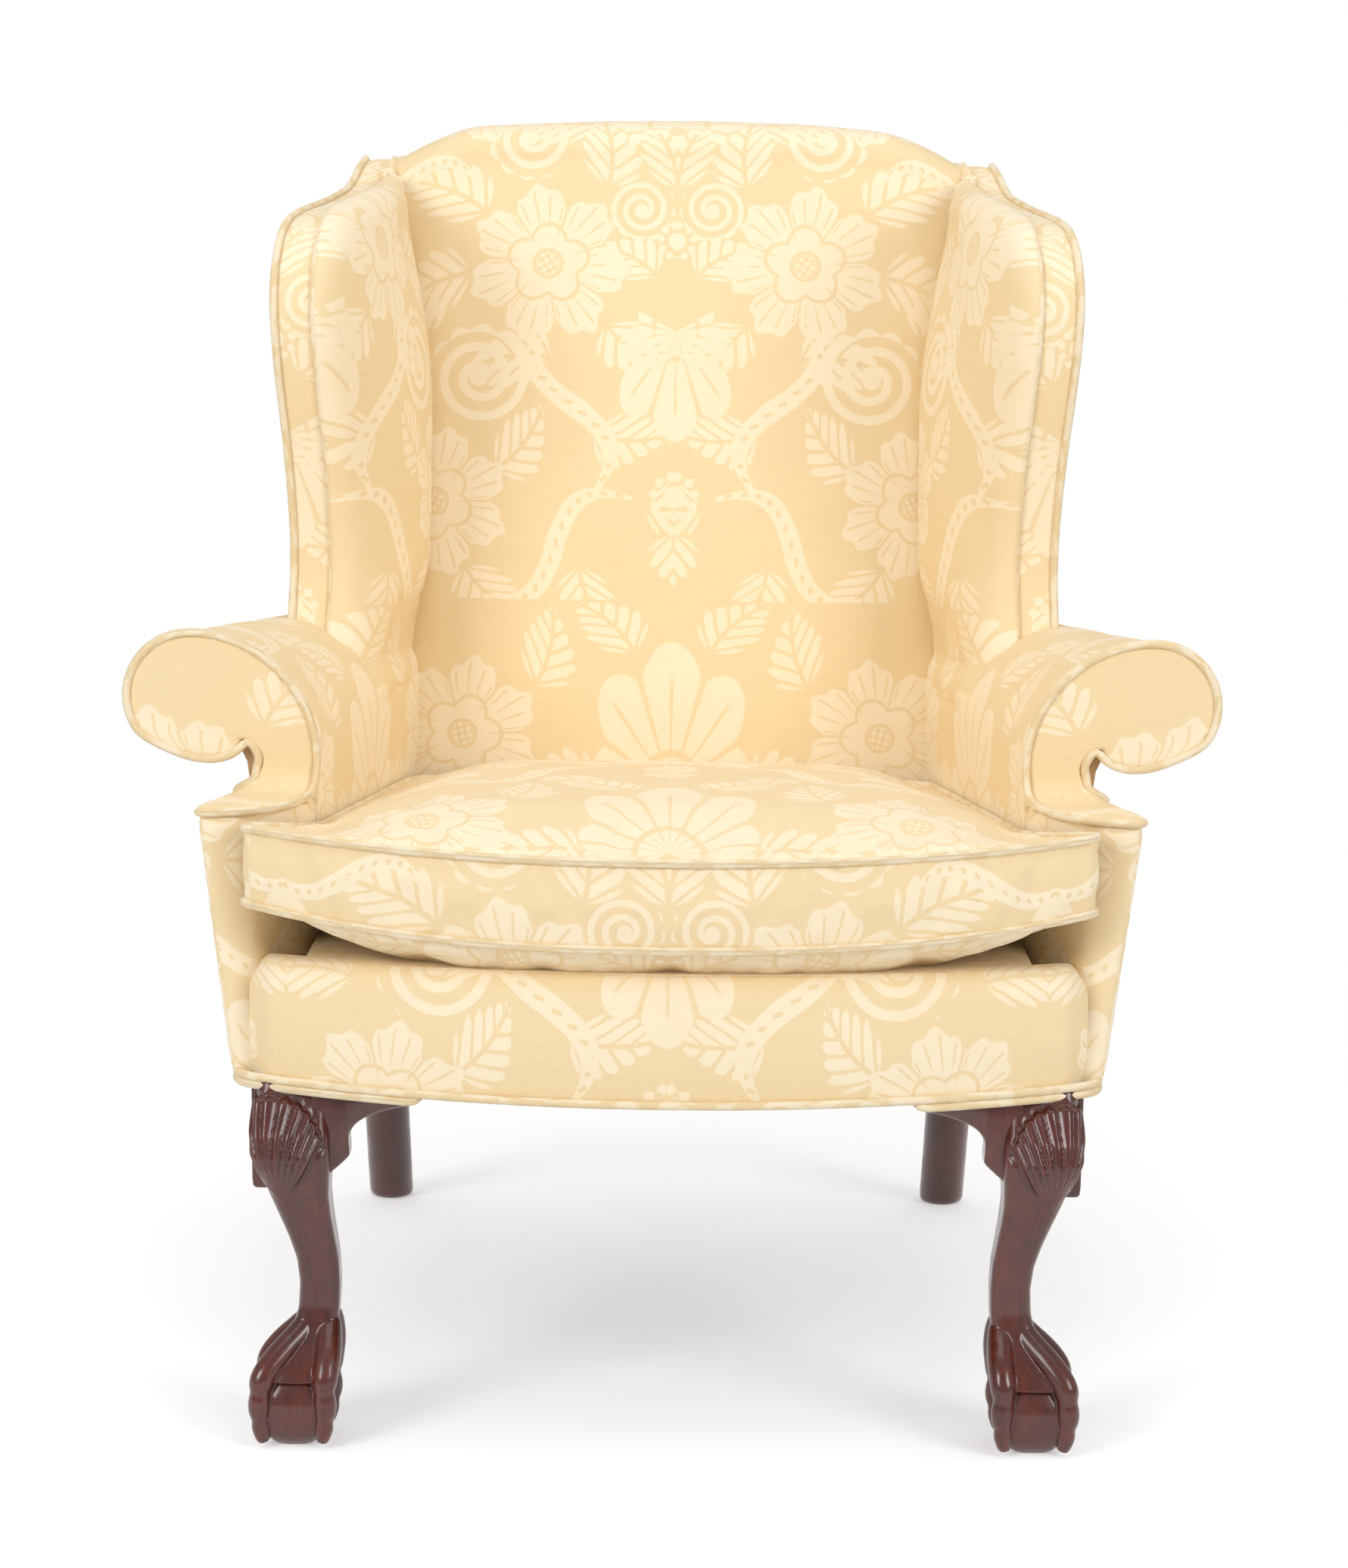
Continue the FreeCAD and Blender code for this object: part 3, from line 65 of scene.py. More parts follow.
CUSHION_GAP, CUSHION_FRONT, CUSHION_BOW, CUSHION_HALF = 0.006, -0.384, 0.062, 0.342
BOXING, CROWN, BELLY, EAR_GAP = 0.070, 0.034, 0.022, 0.020

# Thickness of each cover with its padding
BACK_WALL, WING_WALL, ARM_WALL, BORDER_WALL, COVER_WALL = 0.008, 0.010, 0.006, 0.006, 0.004

# Height in the damask's repeat at which each piece is cut
BOXING_CUT, TOP_CUT, UNDER_CUT, ARM_CUT, BORDER_CUT = 0.36, 0.45, 0.34, 0.376, 0.10


# Surfaces that pieces share

def smooth_step(low, high, value):
    """From 0 at the low value to 1 at the high one, with soft ends."""
    share = np.clip((np.asarray(value, float) - low) / (high - low), 0, 1)
    return share * share * (3 - 2 * share)


def inside_arm_x(y):
    """Inner face of the arms, which splay towards the front."""
    return SEAT_HALF - SPLAY * (y - ARM_FACE)


def arm_top_z(y):
    """Top of the arms, which fall a little towards the rear."""
    return ARM_TOP - ARM_FALL * (y - ARM_FACE)


def outside_back_y(z):
    """Outside back, raked."""
    return BACK_FOOT_Y + RAKE_OUT * (z - RAIL_BOTTOM)


def inside_back_y(z):
    """Inside back, raked more than the outside."""
    return BACK_SEAT_Y + RAKE_IN * (z - BACK_SEAT_Z)


def wing_x(y, z):
    """Outer plane of the wings."""
    return WING_HALF - SPLAY * (y - WING_FRONT) + WING_LEAN * (z - WING_WIDEST)


def side_x(y):
    """Side of the seat, from the front corner to the rear post."""
    rear = wing_x(BACK_FOOT_Y, RAIL_BOTTOM)
    return SIDE_HALF + (rear - SIDE_HALF) * (y - SKIRT_CORNER) / (BACK_FOOT_Y - SKIRT_CORNER)


def crest_z(x):
    """Crest: nearly level in the middle, falling to the shoulders."""
    if abs(x) <= PLATEAU:
        return CREST - CREST_DROP * (x / PLATEAU) ** 2
    share = (abs(x) - PLATEAU) / (SHOULDER_HALF - PLATEAU)
    return CREST - CREST_DROP - (SHOULDER_DROP - CREST_DROP) * share ** 1.5


def bow_y(x):
    """Bowed front of the border, an arc in plan."""
    radius = (SKIRT_HALF ** 2 + BOW ** 2) / (2 * BOW)
    centre = SKIRT_CORNER - BOW + radius
    return centre - math.sqrt(radius ** 2 - x ** 2)


def arm_radii(y):
    """Radii of the arm's inner roll and of its scroll, which taper towards the rear."""
    share = (y - ARM_FACE) / (outside_back_y(ARM_TOP) - ARM_FACE)
    scroll = SCROLL + (SCROLL_REAR - SCROLL) * share
    return ROLL * scroll / SCROLL, scroll


def neck_x():
    """Outer side of the facing's neck, under the scroll."""
    return inside_arm_x(ARM_FACE) + 0.62 * ROLL


# Curves

def rounded(points, rounds=4, closed=False):
    """Corner cutting: the points become a smooth curve that passes near them."""
    path = np.asarray(points, float)
    for _ in range(rounds):
        following = np.roll(path, -1, axis=0)
        if not closed:
            following = following[:-1]
        start = path if closed else path[:-1]
        cut = np.stack([0.75 * start + 0.25 * following, 0.25 * start + 0.75 * following], axis=1)
        cut = cut.reshape(-1, path.shape[1])
        path = cut if closed else np.vstack([path[:1], cut, path[-1:]])
    return path


def lengths(path):
    """Distance along a path at each of its points."""
    steps = np.linalg.norm(np.diff(path, axis=0), axis=1)
    return np.concatenate([[0], np.cumsum(steps)])


def evenly(path, count):
    """The same path with evenly spaced points."""
    path = np.asarray(path, float)
    along = lengths(path)
    at = np.linspace(0, along[-1], count)
    return np.stack([np.interp(at, along, path[:, axis]) for axis in range(path.shape[1])], axis=1)


def flipped(points, sign):
    """A path or grid on the right side, or its mirror image on the left."""
    return np.asarray(points, float) * np.array([sign, 1, 1])


# Meshes

def new_object(name, mesh):
    """Put a mesh, curve, lamp or camera into the scene."""
    piece = bpy.data.objects.new(name, mesh)
    bpy.context.scene.collection.objects.link(piece)
    return piece


WELD = 0.0004


def cloth_mesh(name, grids, weld=WELD, largest_hole=40):
    """One mesh from grids of points with cloth coordinates, welded where they meet, its faces outwards."""
    bm = bmesh.new()
    cloth = bm.loops.layers.uv.new("cloth")
    for points, spread in grids:
        rows, columns = points.shape[:2]
        verts = [[bm.verts.new(points[row, column]) for column in range(columns)] for row in range(rows)]
        for row in range(rows - 1):
            for column in range(columns - 1):
                places = ((row, column), (row, column + 1), (row + 1, column + 1), (row + 1, column))
                corners = [verts[a][b] for a, b in places]
                face = bm.faces.new(corners)
                face.smooth = True
                for loop, (a, b) in zip(face.loops, places):
                    loop[cloth].uv = spread[a, b]
    bmesh.ops.remove_doubles(bm, verts=bm.verts, dist=weld)
    holes = [edge for edge in bm.edges if edge.is_boundary]
    if holes:
        bmesh.ops.holes_fill(bm, edges=holes, sides=largest_hole)
    bmesh.ops.recalc_face_normals(bm, faces=bm.faces)
    mesh = bpy.data.meshes.new(name)
    bm.to_mesh(mesh)
    bm.free()
    return new_object(name, mesh)


def spread_of(points, origin=(0.0, 0.0)):
    """Cloth coordinates of a grid from its own lengths, across its rows and up its columns."""
    rows, columns = points.shape[:2]
    across = np.stack([lengths(points[row]) for row in range(rows)])
    across -= across.mean(axis=1, keepdims=True)
    up = np.stack([lengths(points[:, column]) for column in range(columns)], axis=1)
    return np.stack([across + origin[0], up + origin[1]], axis=2)


def subdivide(piece, levels):
    """Round a piece off by subdivision."""
    rounding = piece.modifiers.new("rounding", "SUBSURF")
    rounding.levels = rounding.render_levels = levels


def fuse(piece, voxel, passes, strength):
    """Run closed solids together into one skin and smooth it."""
    remesh = piece.modifiers.new("skin", "REMESH")
    remesh.mode = "VOXEL"
    remesh.voxel_size = voxel
    relax = piece.modifiers.new("relax", "SMOOTH")
    relax.iterations = passes
    relax.factor = strength


def finish(piece, material, smoothing=0):
    """Shade a piece smooth and give it its cloth or polish."""
    piece.data.materials.clear()
    piece.data.materials.append(material)
    for face in piece.data.polygons:
        face.use_smooth = True
    if smoothing:
        subdivide(piece, smoothing)
    return piece


def soften(name, node, voxel, passes, swell, rounding=0):
    """Soft version of a plain solid: remeshed, smoothed and slightly swollen."""
    bm = bmesh.new()
    bm.from_mesh(NODES[node].data)
    bmesh.ops.remove_doubles(bm, verts=bm.verts, dist=0.00001)
    mesh = bpy.data.meshes.new(name)
    bm.to_mesh(mesh)
    bm.free()
    piece = new_object(name, mesh)
    fuse(piece, voxel, passes, strength=0.5)
    if rounding:
        subdivide(piece, rounding)
    settle(piece)
    places, normals = skin(piece)
    piece.data.vertices.foreach_set("co", (places + normals * swell).ravel())
    project_cloth(piece.data)
    return piece


def settle(piece):
    """Turn a piece with modifiers into a plain mesh."""
    graph = bpy.context.evaluated_depsgraph_get()
    mesh = bpy.data.meshes.new_from_object(piece.evaluated_get(graph))
    piece.modifiers.clear()
    piece.data = mesh
    return piece


def give_thickness(piece, thickness):
    """A closed shell from one skin: the skin stays where it is and the wall grows inwards."""
    wall = piece.modifiers.new("thickness", "SOLIDIFY")
    wall.thickness, wall.offset = thickness, -1
    return settle(piece)


def project_cloth(mesh):
    """Cloth coordinates from the direction that each face looks in: front, side or top."""
    layer = mesh.uv_layers.get("cloth") or mesh.uv_layers.new(name="cloth")
    for face in mesh.polygons:
        facing = [abs(part) for part in face.normal]
        for loop in face.loop_indices:
            x, y, z = mesh.vertices[mesh.loops[loop].vertex_index].co
            if facing[1] >= max(facing[0], facing[2]):
                layer.data[loop].uv = (x, z)
            elif facing[0] >= facing[2]:
                layer.data[loop].uv = (y, z)
            else:
                layer.data[loop].uv = (x, y)


def put(piece, body, slot, *nodes):
    """A finished piece rides on its body and stands for its CAD nodes, which are hidden; its slot is not
    used.
    """
    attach(piece, body)
    if nodes:
        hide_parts(*nodes)
    return piece


# Node helpers for materials

class Board:
    """A short way to write shader nodes."""

    def __init__(self, tree):
        self.tree = tree
        self.nodes = tree.nodes

    def make(self, kind, **settings):
        """A new node."""
        made = self.nodes.new(kind)
        for name, value in settings.items():
            setattr(made, name, value)
        return made

    def feed(self, socket, value):
        """Link an output to a socket, or set the socket to a value."""
        if isinstance(value, bpy.types.NodeSocket):
            self.tree.links.new(value, socket)
        else:
            socket.default_value = value

    def math(self, operation, *values):
        made = self.make("ShaderNodeMath", operation=operation)
        for socket, value in zip(made.inputs, values):
            self.feed(socket, value)
        return made.outputs[0]

    def plus(self, first, second):
        return self.math("ADD", first, second)

    def minus(self, first, second):
        return self.math("SUBTRACT", first, second)

    def times(self, first, second):
        return self.math("MULTIPLY", first, second)

    def line(self, value, rate, shift):
        return self.math("MULTIPLY_ADD", value, rate, shift)

    def larger(self, first, second):
        return self.math("MAXIMUM", first, second)

    def size(self, value):
        return self.math("ABSOLUTE", value)

    def blend(self, share, first, second):
        """Colour between two others."""
        made = self.make("ShaderNodeMix", data_type="RGBA")
        self.feed(made.inputs["Factor"], share)
        self.feed(made.inputs[6], first)
        self.feed(made.inputs[7], second)
        return made.outputs[2]

    def noise(self, vector, scale, detail=2.0, roughness=0.5):
        made = self.make("ShaderNodeTexNoise")
        self.feed(made.inputs["Vector"], vector)
        self.feed(made.inputs["Scale"], scale)
        self.feed(made.inputs["Detail"], detail)
        self.feed(made.inputs["Roughness"], roughness)
        return made.outputs["Fac"]

    def span(self, value, low, high, to_low=0.0, to_high=1.0):
        """Map a value from one range to another, held at the ends."""
        made = self.make("ShaderNodeMapRange", interpolation_type="SMOOTHSTEP")
        for socket, number in zip(made.inputs, (value, low, high, to_low, to_high)):
            self.feed(socket, number)
        return made.outputs[0]

    def bump(self, height, distance, strength=1.0, below=None):
        made = self.make("ShaderNodeBump")
        self.feed(made.inputs["Height"], height)
        self.feed(made.inputs["Distance"], distance)
        self.feed(made.inputs["Strength"], strength)
        if below is not None:
            self.feed(made.inputs["Normal"], below)
        return made.outputs["Normal"]


def material_board(name):
    """A new material, its board and its surface shader."""
    material = bpy.data.materials.new(name)
    material.use_nodes = True
    board = Board(material.node_tree)
    board.nodes.clear()
    surface = board.make("ShaderNodeBsdfPrincipled")
    output = board.make("ShaderNodeOutputMaterial")
    material.node_tree.links.new(surface.outputs[0], output.inputs[0])
    return material, board, surface


def linear(red, green, blue):
    """A colour as it is seen, 0 to 255, as the linear colour that a shader wants."""
    parts = [value / 255 for value in (red, green, blue)]
    shades = [part / 12.92 if part <= 0.04045 else ((part + 0.055) / 1.055) ** 2.4 for part in parts]
    return (*shades, 1)


# Damask

CREAM, GOLD = linear(249, 234, 204), linear(238, 213, 166)
REPEAT_WIDE, REPEAT_HIGH = 0.62, 0.64
RIB, WARP = 0.0011, 0.0009

# Motifs of the damask in one half of its mirrored repeat: kind, place across and up, turn in degrees, size
MOTIFS = [
    ("palmette", 0.000, 0.222, 180, 0.078), ("rosette", 0.000, 0.345, 0, 0.019),
    ("scroll", 0.034, 0.376, 20, 0.030), ("leaf", 0.000, 0.396, 0, 0.070),
    ("leaf", 0.020, 0.312, -42, 0.062), ("flower", 0.122, 0.322, 12, 0.078),
    ("leaf", 0.066, 0.398, 16, 0.074), ("leaf", 0.182, 0.372, -48, 0.082),
    ("leaf", 0.196, 0.312, -96, 0.078), ("leaf", 0.066, 0.262, 142, 0.070),
    ("band", 0.098, 0.186, -8, 0.090), ("leaf", 0.118, 0.230, -76, 0.080),
    ("leaf", 0.076, 0.158, 112, 0.070), ("scroll", 0.186, 0.212, 200, 0.048),
    ("leaf", 0.236, 0.250, -24, 0.078), ("leaf", 0.254, 0.196, -70, 0.072),
    ("flower", 0.226, 0.092, -20, 0.072), ("leaf", 0.168, 0.124, 58, 0.070),
    ("leaf", 0.196, 0.030, 152, 0.066), ("scroll", 0.280, 0.014, 60, 0.040),
    ("rosette", 0.000, 0.098, 0, 0.024), ("leaf", 0.000, 0.064, 180, 0.066),
    ("leaf", 0.026, 0.088, 100, 0.066), ("band", 0.112, 0.050, 62, 0.086),
    ("leaf", 0.088, 0.030, 176, 0.062), ("palmette", 0.000, 0.508, 0, 0.102),
    ("leaf", 0.072, 0.464, -70, 0.080), ("scroll", 0.140, 0.446, 110, 0.040),
    ("flower", 0.196, 0.512, 30, 0.074), ("leaf", 0.128, 0.560, 34, 0.072),
    ("leaf", 0.258, 0.474, -92, 0.068), ("band", 0.258, 0.402, 98, 0.070),
    ("palmette", 0.310, 0.318, 0, 0.072), ("leaf", 0.282, 0.570, -24, 0.070),
    ("leaf", 0.036, 0.592, -28, 0.068)]


def motif_group(name):
    """A shader group that turns a place on the cloth into how much of the motif covers it."""
    tree = bpy.data.node_groups.new(name, "ShaderNodeTree")
    tree.interface.new_socket("Place", in_out="INPUT", socket_type="NodeSocketVector")
    tree.interface.new_socket("Cover", in_out="OUTPUT", socket_type="NodeSocketFloat")
    board = Board(tree)
    place = board.make("NodeGroupInput").outputs[0]
    axes = board.make("ShaderNodeSeparateXYZ")
    board.feed(axes.inputs[0], place)
    result = board.make("NodeGroupOutput")
    return tree, board, axes.outputs[0], axes.outputs[1], result.inputs[0]


def polar(board, x, y):
    """Distance from the middle of a motif, and direction from its upright."""
    reach = board.math("SQRT", board.plus(board.times(x, x), board.times(y, y)))
    return reach, board.math("ARCTAN2", x, y)


def ripple(board, value, rate, shift=0.0):
    """Sine wave of a value."""
    return board.math("SINE", board.line(value, rate, shift))


def soft_edge(board, value, width=0.05):
    """1 where the value is above zero, with a soft edge."""
    return board.span(value, -width, width)


def leaf_motif():
    """Curled leaf with a lobed edge, a midrib and side veins, from 0 to 1 up the y axis."""
    tree, board, x, y, out = motif_group("damask_leaf")
    bend = board.times(board.times(y, y), 0.42)
    side = board.size(board.minus(x, bend))
    risen = board.math("POWER", board.larger(y, 0.0), 0.75)
    body = ripple(board, risen, 3.14)
    lean = board.line(side, -0.9, y)
    lobes = board.size(ripple(board, lean, 15.0))
    half = board.times(body, board.line(lobes, 0.16, 0.26))
    inside = soft_edge(board, board.minus(half, side), 0.025)
    midrib = board.span(side, 0.018, 0.045)
    veins = board.span(board.size(ripple(board, lean, 15.0, 1.57)), 0.84, 0.99, 1.0, 0.0)
    ends = board.times(board.math("GREATER_THAN", y, 0.0), board.math("LESS_THAN", y, 1.0))
    cover = board.times(inside, board.times(midrib, veins))
    board.feed(out, board.times(cover, ends))
    return tree


def flower_motif():
    """Open flower with ruffled, veined petals in two rings round a seeded heart."""
    tree, board, x, y, out = motif_group("damask_flower")
    reach, turn = polar(board, x, y)
    outer = board.line(board.size(ripple(board, turn, 3.5, 0.4)), 0.26, 0.72)
    outer = board.line(ripple(board, turn, 21.0), 0.035, outer)
    inner = board.line(board.size(ripple(board, turn, 2.5, 1.1)), 0.14, 0.36)
    edge_out = soft_edge(board, board.minus(outer, reach), 0.02)
    gap = board.span(board.size(board.minus(reach, inner)), 0.012, 0.040)
    veins = board.span(board.size(ripple(board, turn, 14.0, 0.4)), 0.12, 0.40)
    zone = board.span(reach, 0.46, 0.60)
    veins = board.larger(veins, board.minus(1.0, zone))
    rim = board.span(board.minus(outer, reach), 0.05, 0.09)
    veins = board.larger(veins, board.minus(1.0, rim))
    splits = board.span(board.size(ripple(board, turn, 3.5, 0.4)), 0.03, 0.16)
    splits = board.larger(splits, board.span(reach, 0.30, 0.44, 1.0, 0.0))
    heart = board.span(board.size(board.minus(reach, 0.17)), 0.012, 0.035)
    seeds = board.times(ripple(board, x, 52.0), ripple(board, y, 52.0))
    seeds = board.larger(board.span(seeds, -0.05, 0.25), board.span(reach, 0.13, 0.15))
    cover = board.times(board.times(edge_out, gap), board.times(veins, splits))
    board.feed(out, board.times(cover, board.times(heart, seeds)))
    return tree


def palmette_motif():
    """Upright fan of long lobes with a groove down each and a scalloped edge."""
    tree, board, x, y, out = motif_group("damask_palmette")
    wide = board.times(x, 1.25)
    reach, turn = polar(board, wide, board.plus(y, 0.45))
    lobes = board.size(ripple(board, turn, 4.5, 1.5708))
    limit = board.line(lobes, 0.30, 1.06)
    limit = board.times(limit, board.span(board.size(turn), 0.2, 2.2, 1.0, 0.45))
    inside = soft_edge(board, board.minus(limit, reach), 0.02)
    grooves = board.span(lobes, 0.05, 0.28)
    ribs = board.span(board.size(ripple(board, turn, 4.5)), 0.05, 0.16)
    ribs = board.larger(ribs, board.span(reach, 0.95, 1.10))
    foot = board.span(board.size(board.minus(reach, 0.34)), 0.015, 0.05)
    fan = board.math("LESS_THAN", board.size(turn), 2.0)
    cover = board.times(board.times(inside, grooves), board.times(ribs, foot))
    board.feed(out, board.times(cover, fan))
    return tree


def rosette_motif():
    """Jewel with a ring of dots round it."""
    tree, board, x, y, out = motif_group("damask_rosette")
    reach, turn = polar(board, x, y)
    jewel = board.span(reach, 0.40, 0.46, 1.0, 0.0)
    beads = board.minus(board.line(ripple(board, turn, 10.0), 0.10, 0.13),
                       board.size(board.minus(reach, 0.82)))
    board.feed(out, board.larger(jewel, board.span(beads, 0.0, 0.06)))
    return tree


def scroll_motif():
    """Snail scroll: a band that winds inwards and ends in a bud."""
    tree, board, x, y, out = motif_group("damask_scroll")
    reach, turn = polar(board, x, y)
    wound = board.line(turn, 1 / (2 * math.pi), 0.5)
    level = board.minus(board.times(reach, 2.6), wound)
    off = board.size(board.minus(board.math("FRACT", level), 0.5))
    band = board.span(off, 0.20, 0.26, 1.0, 0.0)
    notches = board.line(board.size(ripple(board, turn, 6.0)), 0.14, 0.93)
    limit = soft_edge(board, board.minus(notches, reach), 0.03)
    bud = board.span(reach, 0.17, 0.21, 1.0, 0.0)
    board.feed(out, board.times(limit, board.larger(band, bud)))
    return tree


def band_motif():
    """S-shaped stem that swells in the middle, with a row of beads along it."""
    tree, board, x, y, out = motif_group("damask_band")
    swing = board.times(ripple(board, y, 2.9), 0.34)
    off = board.size(board.minus(x, swing))
    span = board.minus(1.0, board.size(y))
    half = board.line(board.larger(span, 0.0), 0.13, 0.03)
    body = soft_edge(board, board.minus(half, off), 0.012)
    beads = board.minus(board.line(ripple(board, y, 44.0), 0.035, 0.015), off)
    cut = board.span(beads, 0.0, 0.02, 1.0, 0.0)
    board.feed(out, board.times(board.times(body, cut), board.math("GREATER_THAN", span, 0.0)))
    return tree


def damask_figure():
    """Group that gives the damask's figure, 0 on the ground and 1 on the figure, for a place on the cloth."""
    makers = {"leaf": leaf_motif(), "flower": flower_motif(), "palmette": palmette_motif(),
              "rosette": rosette_motif(), "scroll": scroll_motif(), "band": band_motif()}
    tree = bpy.data.node_groups.new("damask_figure", "ShaderNodeTree")
    tree.interface.new_socket("Place", in_out="INPUT", socket_type="NodeSocketVector")
    tree.interface.new_socket("Cover", in_out="OUTPUT", socket_type="NodeSocketFloat")
    board = Board(tree)
    axes = board.make("ShaderNodeSeparateXYZ")
    board.feed(axes.inputs[0], board.make("NodeGroupInput").outputs[0])
    across = board.math("PINGPONG", board.size(axes.outputs[0]), REPEAT_WIDE / 2)
    up = board.math("FLOORED_MODULO", axes.outputs[1], REPEAT_HIGH)
    folded = board.make("ShaderNodeCombineXYZ")
    board.feed(folded.inputs[0], across)
    board.feed(folded.inputs[1], up)
    cover = None
    for kind, x, y, turn, size in MOTIFS:
        place = board.make("ShaderNodeMapping", vector_type="TEXTURE")
        board.feed(place.inputs["Vector"], folded.outputs[0])
        place.inputs["Location"].default_value = (x, y, 0)
        place.inputs["Rotation"].default_value = (0, 0, math.radians(turn))
        place.inputs["Scale"].default_value = (size, size, 1)
        motif = board.make("ShaderNodeGroup")
        motif.node_tree = makers[kind]
        board.feed(motif.inputs[0], place.outputs[0])
        cover = motif.outputs[0] if cover is None else board.larger(cover, motif.outputs[0])
    result = board.make("NodeGroupOutput")
    board.feed(result.inputs[0], cover)
    return tree


FIGURE = damask_figure()


def damask(name):
    """Cream satin figure on a gold ribbed ground; the ribs run across the cloth."""
    material, board, surface = material_board(name)
    place = board.make("ShaderNodeUVMap", uv_map="cloth").outputs[0]
    axes = board.make("ShaderNodeSeparateXYZ")
    board.feed(axes.inputs[0], place)
    figure = board.make("ShaderNodeGroup")
    figure.node_tree = FIGURE
    stray = board.make("ShaderNodeTexNoise")
    board.feed(stray.inputs["Vector"], place)
    stray.inputs["Scale"].default_value = 420
    stray.inputs["Detail"].default_value = 1
    shift = board.make("ShaderNodeVectorMath", operation="MULTIPLY_ADD")
    board.feed(shift.inputs[0], stray.outputs["Color"])
    shift.inputs[1].default_value = (0.0016, 0.0016, 0)
    board.feed(shift.inputs[2], place)
    board.feed(figure.inputs[0], shift.outputs[0])
    cover = figure.outputs[0]
    broad = board.noise(place, scale=9, detail=2)
    thread = board.noise(place, scale=900, detail=2)
    ground = board.blend(board.span(thread, 0.3, 0.7, 0.0, 0.35), GOLD, linear(248, 228, 188))
    satin = board.blend(board.span(thread, 0.3, 0.7, 0.0, 0.30), CREAM, linear(246, 222, 180))
    colour = board.blend(cover, ground, satin)
    colour = board.blend(board.span(broad, 0.35, 0.75, 0.0, 0.18), colour, linear(240, 212, 166))
    board.feed(surface.inputs["Base Color"], colour)
    board.feed(surface.inputs["Roughness"], board.span(cover, 0.0, 1.0, 0.74, 0.50))
    surface.inputs["Sheen Weight"].default_value = 0.12
    surface.inputs["Sheen Roughness"].default_value = 0.4
    surface.inputs["Specular IOR Level"].default_value = 0.35
    ribs = ripple(board, axes.outputs[1], 2 * math.pi / RIB)
    warp = ripple(board, axes.outputs[0], 2 * math.pi / WARP)
    weave = board.line(warp, 0.35, ribs)
    fine = board.bump(weave, distance=0.00010, strength=0.5)
    slub = board.noise(place, scale=60, detail=3)
    board.feed(surface.inputs["Normal"], board.bump(slub, distance=0.0012, strength=0.35, below=fine))
    return material


def piping_cloth(name):
    """The same cloth cut on the bias round a cord: short light and gold flecks, slanted."""
    material, board, surface = material_board(name)
    place = board.make("ShaderNodeUVMap", uv_map="cloth").outputs[0]
    mapping = board.make("ShaderNodeMapping")
    board.feed(mapping.inputs["Vector"], place)
    mapping.inputs["Rotation"].default_value = (0, 0, math.radians(45))
    mapping.inputs["Scale"].default_value = (1.0, 2.6, 1.0)
    patches = board.noise(mapping.outputs[0], scale=42, detail=3)
    thread = board.noise(place, scale=900, detail=2)
    colour = board.blend(board.span(patches, 0.44, 0.56), GOLD, CREAM)
    colour = board.blend(board.span(thread, 0.3, 0.7, 0.0, 0.3), colour, linear(238, 214, 170))
    board.feed(surface.inputs["Base Color"], colour)
    surface.inputs["Roughness"].default_value = 0.66
    surface.inputs["Sheen Weight"].default_value = 0.12
    surface.inputs["Specular IOR Level"].default_value = 0.35
    axes = board.make("ShaderNodeSeparateXYZ")
    board.feed(axes.inputs[0], mapping.outputs[0])
    weave = ripple(board, axes.outputs[0], 2 * math.pi / RIB)
    board.feed(surface.inputs["Normal"], board.bump(weave, distance=0.00012, strength=0.6))
    return material


def platform_cloth(name):
    """Plain woven cloth of the deck under the cushion."""
    material, board, surface = material_board(name)
    place = board.make("ShaderNodeTexCoord").outputs["Object"]
    mottle = board.noise(place, scale=70, detail=4)
    colour = board.blend(board.span(mottle, 0.3, 0.7), linear(238, 217, 176), linear(228, 202, 156))
    board.feed(surface.inputs["Base Color"], colour)
    surface.inputs["Roughness"].default_value = 0.85
    surface.inputs["Sheen Weight"].default_value = 0.1
    axes = board.make("ShaderNodeSeparateXYZ")
    board.feed(axes.inputs[0], place)
    weave = board.times(ripple(board, axes.outputs[0], 4200), ripple(board, axes.outputs[1], 4200))
    board.feed(surface.inputs["Normal"], board.bump(weave, distance=0.0001, strength=0.5))
    return material


def polish(name):
    """Old polished mahogany, lighter where hands and feet have worn it; its hollows are darkened with painted
    shade.
    """
    material, board, surface = material_board(name)
    place = board.make("ShaderNodeTexCoord").outputs["Object"]
    mapping = board.make("ShaderNodeMapping")
    board.feed(mapping.inputs["Vector"], place)
    mapping.inputs["Scale"].default_value = (1, 1, 0.10)
    grain = board.noise(mapping.outputs[0], scale=300, detail=6, roughness=0.65)
    pores = board.noise(mapping.outputs[0], scale=900, detail=2)
    broad = board.noise(mapping.outputs[0], scale=20, detail=3)
    colour = board.blend(board.span(grain, 0.30, 0.75), linear(74, 24, 14), linear(104, 38, 22))
    colour = board.blend(board.span(broad, 0.35, 0.7, 0.0, 0.55), colour, linear(50, 19, 13))
    colour = board.blend(board.span(pores, 0.62, 0.72, 0.0, 0.5), colour, linear(30, 12, 9))
    form = board.make("ShaderNodeNewGeometry").outputs["Pointiness"]
    # Painted shade: the carving's hollows, where pointiness is low, are darkened almost to black.
    colour = board.blend(board.span(form, 0.42, 0.495, 0.92, 0.0), colour, linear(14, 6, 5))
    worn = board.times(board.span(form, 0.52, 0.60), board.span(broad, 0.40, 0.60))
    colour = board.blend(board.times(worn, 0.55), colour, linear(150, 92, 64))
    board.feed(surface.inputs["Base Color"], colour)
    smears = board.noise(place, scale=34, detail=4)
    board.feed(surface.inputs["Roughness"], board.span(smears, 0.3, 0.75, 0.20, 0.42))
    surface.inputs["Coat Weight"].default_value = 0.5
    surface.inputs["Coat Roughness"].default_value = 0.07
    surface.inputs["Specular IOR Level"].default_value = 0.5
    board.feed(surface.inputs["Normal"], board.bump(grain, distance=0.0004, strength=0.25))
    return material


